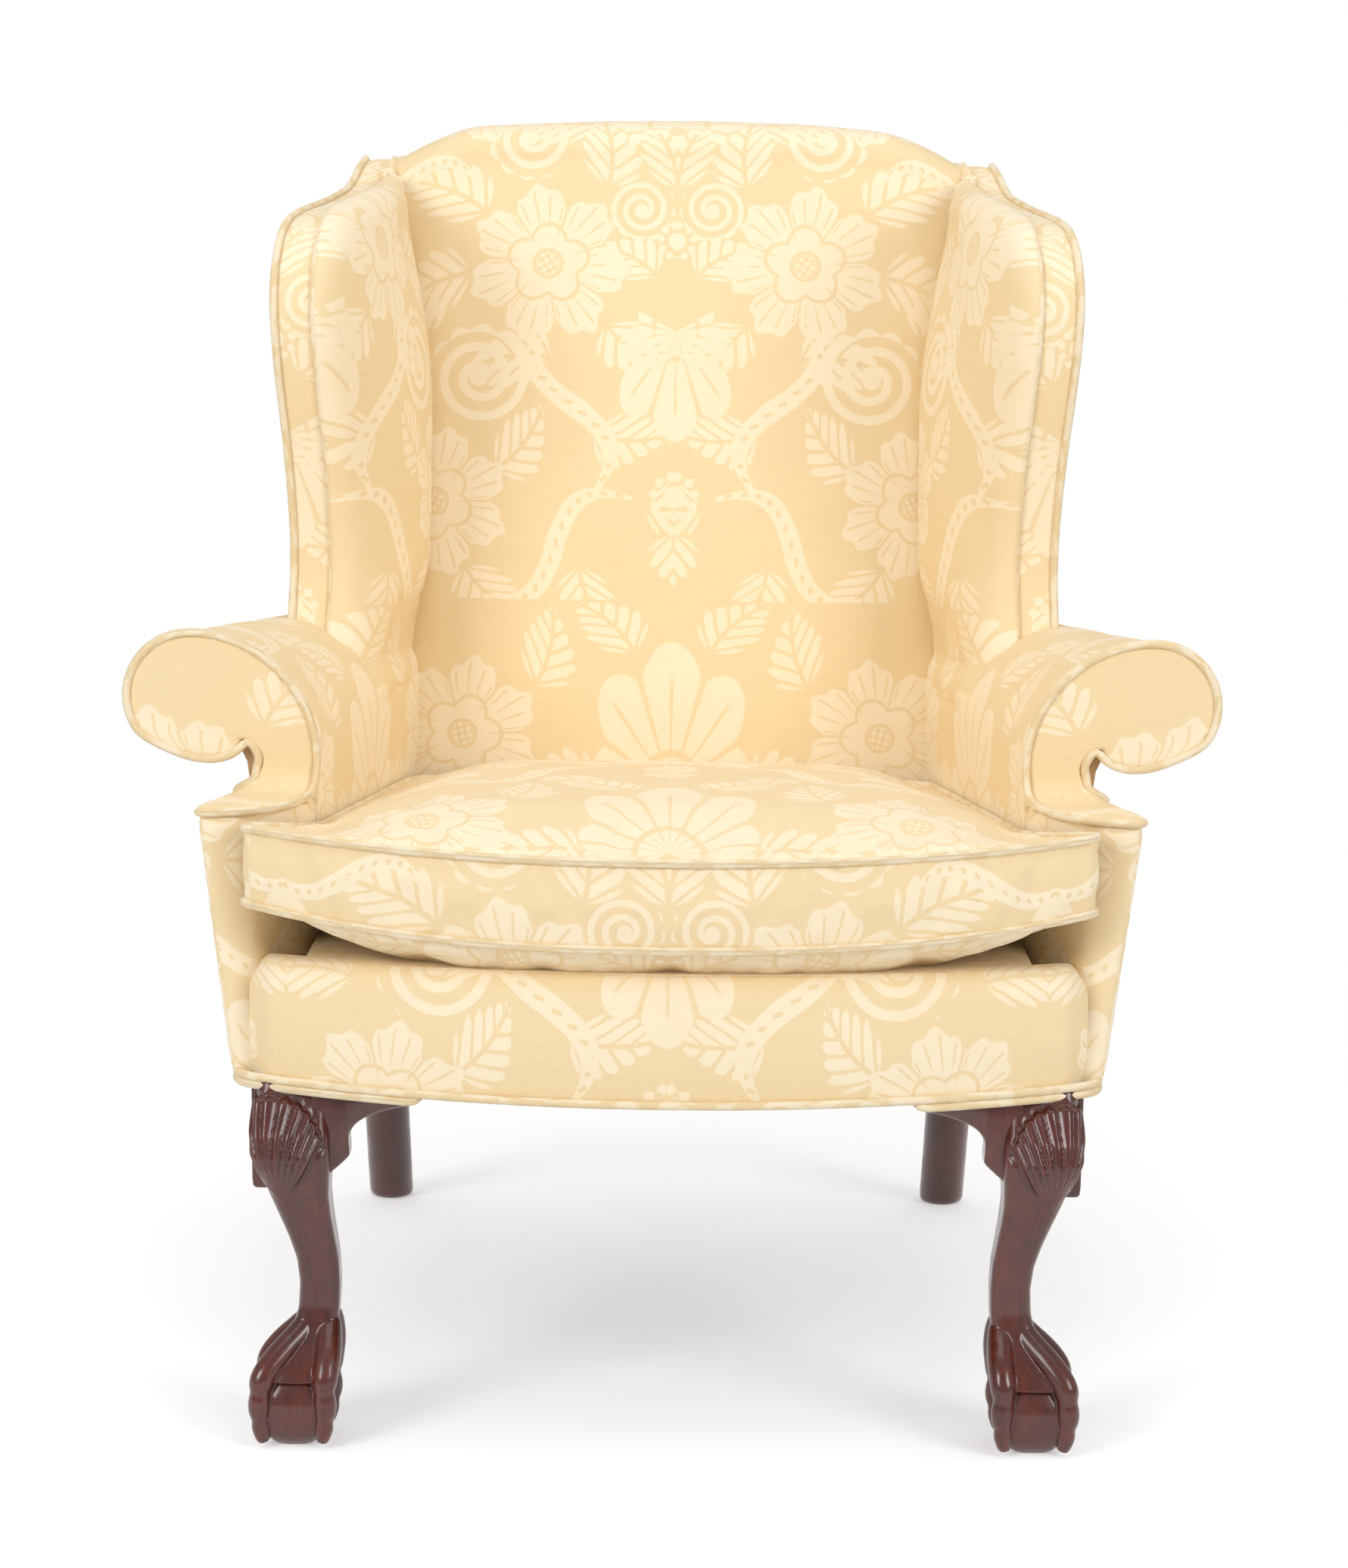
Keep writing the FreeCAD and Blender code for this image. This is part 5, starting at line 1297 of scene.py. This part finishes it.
def lower_path(level, out):
    """Line along the chair's lower edge, round its front, with the middle hanging a little."""
    half = SKIRT_HALF
    side = [(side_x(y) + out, y, level) for y in (-0.060, -0.150, -0.235)]
    corner = [(half + 0.0070, SKIRT_CORNER + 0.026, level), (half + 0.002, SKIRT_CORNER + 0.001, level)]
    front = [(x, bow_y(x) - out, level) for x in (half - 0.022, 0.290, 0.240, 0.190, 0.140, 0.090, 0.040)]
    right = side + corner + front
    left = [(-x, y, z) for x, y, z in reversed(right)]
    path = rounded(np.array(right + left), 3)
    path[:, 2] += lower_dip(np.minimum(np.abs(path[:, 0]), SKIRT_HALF))
    return path


def second_welt():
    """Second row of piping over each front leg; its end is turned in beside the bracket."""
    path = lower_path(RAIL_BOTTOM - WELT * 0.9, WELT * 1.1)
    half = path[:len(path) // 2]
    half = half[half[:, 0] > LOWER_WELT_END]
    x, y, z = half[-1]
    tucked = [(x - 0.005, y + 0.0005, z + 0.001), (x - 0.008, y + 0.004, z + 0.004),
              (x - 0.008, y + 0.010, z + 0.006)]
    return rounded(np.vstack([evenly(half, 60), tucked]), 1)


# Front legs

def square_ring(centre, half, corner, count):
    """A level rounded square as evenly spread points, starting at the middle of its front."""
    flat = half - corner
    points = []
    for turn in range(4):
        base = -math.pi / 2 + turn * math.pi / 2
        for angle in np.linspace(-math.pi / 4, math.pi / 4, count // 4, endpoint=False):
            if abs(math.tan(angle)) * half <= flat:
                u, v = half, half * math.tan(angle)
            else:
                middle = Vector((flat, math.copysign(1, angle) * flat))
                heading = Vector((math.cos(angle), math.sin(angle)))
                along = middle.dot(heading)
                off = middle.length_squared - along ** 2
                reach = along + math.sqrt(max(0, corner ** 2 - off))
                u, v = heading * reach
            points.append((u * math.cos(base) - v * math.sin(base), u * math.sin(base) + v * math.cos(base)))
    ring = np.array(points)
    return np.column_stack([ring[:, 0] + centre[0], ring[:, 1] + centre[1], np.full(len(ring), centre[2])])


LEG_STATIONS = [
    # height, out of the ankle, ahead of it, half width, corner radius
    (0.300, 0.0195, -0.0060, 0.0285, 0.011), (0.280, 0.0200, 0.0030, 0.0300, 0.012),
    (0.262, 0.0200, 0.0130, 0.0310, 0.013), (0.244, 0.0190, 0.0180, 0.0305, 0.014),
    (0.226, 0.0165, 0.0165, 0.0270, 0.013), (0.208, 0.0140, 0.0140, 0.0235, 0.011),
    (0.190, 0.0100, 0.0100, 0.0208, 0.009), (0.170, 0.0052, 0.0055, 0.0185, 0.008),
    (0.150, 0.0012, 0.0015, 0.0170, 0.008), (0.130, -0.0003, 0.0000, 0.0164, 0.008),
    (0.110, 0.0005, 0.0005, 0.0166, 0.009), (0.092, 0.0035, 0.0035, 0.0180, 0.010),
    (0.078, 0.0100, 0.0100, 0.0225, 0.013), (0.066, 0.0155, 0.0155, 0.0270, 0.018),
    (0.054, 0.0190, 0.0190, 0.0300, 0.022)]


KNEE_TOP, SHELL_FOOT, SHAFT_FOOT = 0.300, 0.196, 0.054
ANKLE_IN = 0.019
LEG_COUNT = 240


def leg_shaft():
    """Cabriole shaft with a scallop shell carved on its knee."""
    fine, coarse = np.arange(KNEE_TOP, SHELL_FOOT, -0.0009), np.arange(SHELL_FOOT, SHAFT_FOOT, -0.0025)
    heights = np.concatenate([fine, coarse])
    order = np.array(LEG_STATIONS)[::-1]
    window = np.hanning(17)[1:-1]
    window /= window.sum()
    smoothed = []
    for column in range(1, 5):
        values = np.interp(heights, order[:, 0], order[:, column])
        even = np.interp(np.linspace(KNEE_TOP, SHAFT_FOOT, 400)[::-1], heights[::-1], values[::-1])
        held = np.concatenate([np.full(7, even[0]), even, np.full(7, even[-1])])
        even = np.convolve(held, window, "valid")
        smoothed.append(np.interp(heights, np.linspace(SHAFT_FOOT, KNEE_TOP, 400), even))
    ankle = (FOOT_X - ANKLE_IN, FOOT_Y + ANKLE_IN)
    rings = []
    for height, out, ahead, half, corner in zip(heights, *smoothed):
        rings.append(square_ring((ankle[0] + out, ankle[1] - ahead, height), half, corner, LEG_COUNT))
    return carve_shell(np.array(rings))


SHELL_TURN, SHELL_SPREAD = math.radians(30), math.radians(42)
SHELL_TIP, SHELL_REACH, SHELL_RIBS = 0.204, 0.084, 11


def carve_shell(grid):
    """Push the shell's ribs out of the knee and cut the groove round them."""
    centre = grid.mean(axis=1, keepdims=True)
    away = grid - centre
    angle = np.arctan2(away[:, :, 0], -away[:, :, 1])
    reach = np.hypot(away[:, :, 0], away[:, :, 1])
    along = (angle - SHELL_TURN) * reach
    up = grid[:, :, 2] - SHELL_TIP
    rho = np.hypot(along, np.maximum(up, 0))
    fan = np.arctan2(along, np.maximum(up, 1e-4))
    inside = np.abs(fan) / SHELL_SPREAD
    wave = np.abs(np.sin(fan / SHELL_SPREAD * math.pi * SHELL_RIBS / 2 + math.pi / 2))
    limit = SHELL_REACH - 0.016 * inside ** 2 + 0.0024 * wave
    body = smooth_step(0.0, 0.0025, limit - rho) * smooth_step(0.0, 0.12, 1.0 - inside)
    body = body * smooth_step(0, 0.004, up)
    rib = wave ** 0.6
    height = body * (0.0006 + 0.0032 * rib * smooth_step(0.006, 0.034, rho)) - 0.0010 * body * (1 - rib)
    rim = np.exp(-((rho - limit - 0.0012) / 0.0016) ** 2) * (inside < 1.12) * smooth_step(0, 0.006, up)
    edge = np.exp(-((inside - 1.06) / 0.07) ** 2) * smooth_step(0.004, 0.03, rho)
    edge = edge * (rho < limit + 0.002) * (up > 0)
    groove = np.maximum(rim, edge) * 0.0020
    flat = away.copy()
    flat[:, :, 2] = 0
    flat /= np.maximum(np.linalg.norm(flat, axis=2, keepdims=True), 1e-6)
    return grid + flat * (height - groove)[:, :, None]


def tube(path, radii):
    """Round tube with a radius at each point of its path."""
    ahead = np.gradient(path, axis=0)
    ahead /= np.linalg.norm(ahead, axis=1)[:, None]
    side = np.cross(ahead, [0.3, 0.9, 0.1])
    side /= np.linalg.norm(side, axis=1)[:, None]
    over = np.cross(ahead, side)
    turns = np.linspace(0, 2 * math.pi, 21)[None, :, None]
    ring = side[:, None] * np.cos(turns) + over[:, None] * np.sin(turns)
    return path[:, None] + ring * radii[:, None, None]


# Toe of the foot from its knuckle down: distance out as a share of the ball, height, radius
TOE = [
    (0.26, 0.106, 0.0070), (0.36, 0.096, 0.0100), (0.54, 0.086, 0.0112), (0.82, 0.075, 0.0112),
    (1.02, 0.064, 0.0106), (1.09, 0.055, 0.0104), (1.10, 0.048, 0.0080), (1.13, 0.040, 0.0094),
    (1.14, 0.032, 0.0090), (1.10, 0.025, 0.0070), (1.08, 0.018, 0.0080), (1.05, 0.011, 0.0066),
    (1.00, 0.006, 0.0050)]
GRIPPED = BALL * 0.98


def foot_ball():
    """Ball of the foot: round from the side, slightly square from above, flat on the floor."""
    ball = []
    for rise in np.linspace(0, math.pi, 33):
        reach = GRIPPED * math.sin(rise) ** 0.85
        height = max(0.0, 0.0305 + 0.0345 * math.cos(rise))
        ring = []
        for turn in np.linspace(0, 2 * math.pi, 65):
            x, y = math.cos(turn), math.sin(turn)
            square = 1 / (abs(x) ** 3.0 + abs(y) ** 3.0) ** (1 / 3.0)
            ring.append((FOOT_X + reach * x * square * 0.94, FOOT_Y + reach * y * square * 0.94, height))
        ball.append(ring)
    return np.array(ball)


def foot_toe(angle):
    """Knuckled toe that grips the ball in one direction."""
    path = []
    for out, up, radius in TOE:
        lean = ANKLE_IN * float(smooth_step(0.052, 0.102, up))
        reach = GRIPPED * out
        x = FOOT_X + reach * math.cos(angle) - lean
        y = FOOT_Y + reach * math.sin(angle) + lean
        path.append((x, y, up, radius))
    path = rounded(np.array(path), 3)
    return tube(path[:, :3], path[:, 3])


def carved(name, grids, voxel, passes):
    """One carved mesh from several closed grids that run into each other."""
    blank = [(grid, np.zeros(grid.shape[:2] + (2,))) for grid in grids]
    piece = cloth_mesh(name, blank, weld=0.00005, largest_hole=0)
    fuse(piece, voxel, passes, strength=0.4)
    return finish(settle(piece), MAHOGANY)


def closed_ring(grid):
    """A grid whose last column is its first one again."""
    return np.concatenate([grid, grid[:, :1]], axis=1)


def front_leg(side, sign):
    """Cabriole leg with its claw-and-ball foot, carved from one piece."""
    toes = [foot_toe(math.radians(45 + 90 * turn)) for turn in range(4)]
    grids = [closed_ring(leg_shaft()), foot_ball()] + toes
    leg = carved("front_leg_carved_" + side, [flipped(grid, sign) for grid in grids], voxel=0.00102, passes=1)
    return put(leg, "chair", "polished_mahogany", "front_leg_" + side)


BRACKET_TOP = RAIL_BOTTOM - 0.0003


def bracket_outline():
    """Lower edge of a knee bracket, from the knee outwards: a cusp and a C curve; x is away from the leg."""
    return [(-0.012, 0.206), (0.000, 0.224), (0.008, 0.231), (0.015, 0.2375), (0.0185, 0.2415),
            (0.0175, 0.248), (0.0170, 0.257), (0.021, 0.266), (0.030, 0.2725), (0.045, 0.2785),
            (0.062, 0.2820), (0.070, 0.2835)]


def knee_bracket(place, heading, inward, depth):
    """Shaped bracket: its lower edge is rounded over its thickness."""
    low = evenly(rounded(np.array(bracket_outline()), 3), 70)
    heading, inward = np.asarray(heading, float), np.asarray(inward, float)
    rows = []
    for share in np.linspace(0, 1, 15):
        edge = 4 * (share - 0.5) ** 2
        lift = 0.0035 * edge ** 3
        rows.append([np.asarray(place) + heading * u + inward * depth * share + np.array([0, 0, z + lift])
                     for u, z in low])
    lower = np.array(rows)
    upper = lower.copy()
    upper[:, :, 2] = BRACKET_TOP
    steps = np.linspace(0, 1, 30)
    edges = [(lower[0], upper[0]), (lower[-1], upper[-1]),
             (lower[:, 0], upper[:, 0]), (lower[:, -1], upper[:, -1])]
    walls = [np.stack([below * (1 - step) + above * step for step in steps]) for below, above in edges]
    belly = np.sin(math.pi * steps) * 0.004
    walls[0] = walls[0] - inward[None, None] * belly[:, None, None]
    return [lower, upper] + walls


def brackets(side, sign):
    """The two brackets of a front leg: one along the front rail and one along the side rail."""
    reach = FOOT_X - 0.0285
    face = bow_y(reach - 0.030) + 0.0095
    first = knee_bracket((reach + 0.001, face, 0), (-1, 0, 0), (0, 1, 0), depth=0.024)
    along = FOOT_Y + ANKLE_IN + 0.014
    inner = side_x(along + 0.06) - PANEL - 0.024
    second = knee_bracket((inner, along - 0.008, 0), (0, 1, 0), (1, 0, 0), depth=0.022)
    grids = [flipped(grid, sign) for grid in first + second]
    piece = carved("knee_brackets_carved_" + side, grids, voxel=0.0016, passes=3)
    return put(piece, "chair", "polished_mahogany", "knee_brackets_" + side)


def rear_leg(side, sign):
    """Plain round leg that rakes back, its lower edge rounded."""
    top = RAIL_BOTTOM - 0.0003
    heights = [(0.0, 0.80), (0.0008, 0.88), (0.0025, 0.95), (0.0055, 0.99)]
    heights += [(z, 1.0) for z in np.linspace(0.009, top, 40)]
    turns = np.linspace(0, 2 * math.pi, 65)
    rows = []
    for z, scale in heights:
        share = z / top
        middle = REAR_FOOT_Y + (REAR_LEG_TOP - REAR_FOOT_Y) * (1.25 * share - 0.25 * share ** 2)
        radius = REAR_LEG * scale
        rows.append([(REAR_FOOT_X + radius * math.cos(t), middle + radius * math.sin(t), z) for t in turns])
    grid = np.array(rows)
    blank = np.zeros(grid.shape[:2] + (2,))
    leg = cloth_mesh("rear_leg_turned_" + side, [(flipped(grid, sign), blank)], weld=0.00005, largest_hole=0)
    finish(leg, MAHOGANY)
    return put(leg, "chair", "polished_mahogany", "rear_leg_" + side)


# Putting the chair together

def build_cushion():
    """The loose cushion with its two pipings."""
    piece, upper, lower = seat_cushion()
    seams = near(piece, upper, reach=WELD) + near(piece, lower, reach=WELD)
    swell_cloth(piece, seams, pressure=1.6, frames=12, cap=0.012, slack=0.015)
    finish(piece, DAMASK, 1)
    settle(piece)
    settle_wrinkles(piece, size=0.055, depth=0.0014)
    for ring in (upper, lower):
        pucker(piece, ring)
    put(piece, "seat_cushion", "upholstery_damask", "cushion_cover", "cushion_core")
    for label, ring in (("upper", upper), ("lower", lower)):
        away = ring - np.array([0, CUSHION_FRONT / 3, 0])
        away[:, 2] = 0
        away /= np.linalg.norm(away, axis=1)[:, None]
        path = rounded(evenly((ring + away * 0.0015)[:-1], 150), 2, closed=True)
        welt = piping("cushion_piping_" + label, path, closed=True)
        put(welt, "seat_cushion", "damask_piping", "cushion_welt_" + label)


def build_chair():
    """Everything on the frame: pads, covers, pipings and legs."""
    back = inside_back()
    put(back, "chair", "upholstery_damask", "inside_back")
    for side, sign in SIDES.items():
        wing_pieces(side, sign)
        arm_pieces(side, sign)
        front_leg(side, sign)
        brackets(side, sign)
        rear_leg(side, sign)
    border = front_border()
    put(border, "chair", "upholstery_damask", "front_border")
    rear = soften("outside_back_cover", "outside_back", voxel=0.005, passes=4, swell=0.0003)
    finish(rear, DAMASK)
    put(rear, "chair", "upholstery_damask", "outside_back")
    welt = piping("lower_piping", lower_path(RAIL_BOTTOM + WELT, WELT))
    put(welt, "chair", "damask_piping", "lower_welt")
    for side, sign in SIDES.items():
        second = piping("lower_piping_second_" + side, flipped(second_welt(), sign))
        put(second, "chair", "damask_piping")


def plain(name, colour, rough, metallic=0.0):
    """A simple finish for construction that hardly shows."""
    material, _, surface = material_board(name)
    surface.inputs["Base Color"].default_value = colour
    surface.inputs["Roughness"].default_value = rough
    surface.inputs["Metallic"].default_value = metallic
    return material


def hidden_finishes():
    """Finishes of the construction that shows from below or with the cushion out."""
    beech = plain("frame_hardwood", linear(196, 160, 112), 0.6)
    steel = plain("spring_steel", linear(120, 120, 124), 0.4, 1.0)
    webbing = plain("plain_backing_cloth", linear(60, 54, 48), 0.9)
    deck = platform_cloth("deck_cloth")
    brass = plain("zip_brass", linear(190, 160, 90), 0.35, 1.0)
    finishes = {"frame_hardwood": beech, "spring_steel": steel, "plain_backing_cloth": webbing,
                "deck_cloth": deck, "zip_brass": brass, "cushion_filling": deck}
    for part in frame["record"]["subparts"]:
        piece = NODES[part["node"]]
        finish = finishes.get(part["material_slot"])
        if finish is not None:
            piece.data.materials.clear()
            piece.data.materials.append(finish)


# Stage, lights and camera

WORLD_LIGHT = 0.50
FLOOR_PAPER, FLOOR_GLOW = 0.80, 0.42
FLOOR_FADE = 0.75, 1.9


def stage():
    """White floor and backdrop; what the camera sees fades to white, and light from them stays plain."""
    material, board, surface = material_board("studio_floor")
    board.nodes.remove(surface)
    seen = board.make("ShaderNodeLightPath")
    looked = board.larger(seen.outputs["Is Camera Ray"], seen.outputs["Is Glossy Ray"])
    looked = board.larger(looked, seen.outputs["Is Transmission Ray"])
    paper = board.make("ShaderNodeBsdfDiffuse")
    paper.inputs["Color"].default_value = (FLOOR_PAPER, FLOOR_PAPER, FLOOR_PAPER, 1)
    lift, white = board.make("ShaderNodeEmission"), board.make("ShaderNodeEmission")
    lift.inputs["Strength"].default_value = FLOOR_GLOW
    white.inputs["Strength"].default_value = 1.0
    bright = board.make("ShaderNodeAddShader")
    away = board.make("ShaderNodeVectorMath", operation="LENGTH")
    board.feed(away.inputs[0], board.make("ShaderNodeTexCoord").outputs["Object"])
    fading, final = board.make("ShaderNodeMixShader"), board.make("ShaderNodeMixShader")
    links = material.node_tree.links
    links.new(paper.outputs[0], bright.inputs[0])
    links.new(lift.outputs[0], bright.inputs[1])
    board.feed(fading.inputs["Fac"], board.span(away.outputs["Value"], *FLOOR_FADE))
    links.new(bright.outputs[0], fading.inputs[1])
    links.new(white.outputs[0], fading.inputs[2])
    board.feed(final.inputs["Fac"], looked)
    links.new(paper.outputs[0], final.inputs[1])
    links.new(fading.outputs[0], final.inputs[2])
    links.new(final.outputs[0], board.nodes["Material Output"].inputs[0])
    bm = bmesh.new()
    bmesh.ops.create_grid(bm, x_segments=2, y_segments=2, size=12)
    mesh = bpy.data.meshes.new("studio_floor")
    bm.to_mesh(mesh)
    bm.free()
    floor = new_object("studio_floor", mesh)
    floor.data.materials.append(material)
    world = bpy.data.worlds.new("studio")
    bpy.context.scene.world = world
    world.use_nodes = True
    board = Board(world.node_tree)
    board.nodes.clear()
    light, backdrop = board.make("ShaderNodeBackground"), board.make("ShaderNodeBackground")
    for shade, strength in ((light, WORLD_LIGHT), (backdrop, 1.0)):
        shade.inputs["Color"].default_value = (1, 1, 1, 1)
        shade.inputs["Strength"].default_value = strength
    seen = board.make("ShaderNodeLightPath")
    looked = board.larger(seen.outputs["Is Camera Ray"], seen.outputs["Is Transmission Ray"])
    mixed = board.make("ShaderNodeMixShader")
    board.feed(mixed.inputs["Fac"], looked)
    world.node_tree.links.new(light.outputs[0], mixed.inputs[1])
    world.node_tree.links.new(backdrop.outputs[0], mixed.inputs[2])
    output = board.make("ShaderNodeOutputWorld")
    world.node_tree.links.new(mixed.outputs[0], output.inputs[0])


def soft_light(name, place, target, size, power):
    """A rectangular lamp that looks at a point."""
    data = bpy.data.lights.new(name, "AREA")
    data.shape = "RECTANGLE"
    data.size, data.size_y = size
    data.energy = power
    lamp = new_object(name, data)
    lamp.location = place
    lamp.rotation_euler = (Vector(target) - Vector(place)).to_track_quat("-Z", "Y").to_euler()
    return lamp


def lights():
    """A large lamp each side of the camera, the left one stronger, and one overhead; power in watts."""
    middle = (0, 0, 0.55)
    soft_light("key_left", (-2.4, -2.6, 2.0), middle, (1.3, 1.6), 50)
    soft_light("key_right", (2.5, -2.4, 1.9), middle, (1.3, 1.6), 41)
    soft_light("overhead", (0, -0.3, 3.2), middle, (2.6, 2.2), 24)


CAMERA_PLACE, CAMERA_DOWN, CAMERA_ROLL = (0, -2.982, 1.0), math.radians(9.6995), math.radians(0.7)
SENSOR_HEIGHT, LENS, SHIFT = 36, 77.857, 0.0017


def camera():
    """The photograph's camera: 3 m in front, 1 m up, looking down by a few degrees."""
    data = bpy.data.cameras.new("camera")
    data.sensor_fit = "VERTICAL"
    data.sensor_height = SENSOR_HEIGHT
    data.lens = LENS
    data.shift_x = SHIFT
    piece = new_object("camera", data)
    piece.location = CAMERA_PLACE
    turn = Matrix.Rotation(math.pi / 2 - CAMERA_DOWN, 4, "X") @ Matrix.Rotation(CAMERA_ROLL, 4, "Z")
    piece.rotation_euler = turn.to_euler()
    bpy.context.scene.camera = piece


build_cushion()
build_chair()
hidden_finishes()
stage()
lights()
camera()
bpy.context.scene.view_settings.view_transform = "Standard"
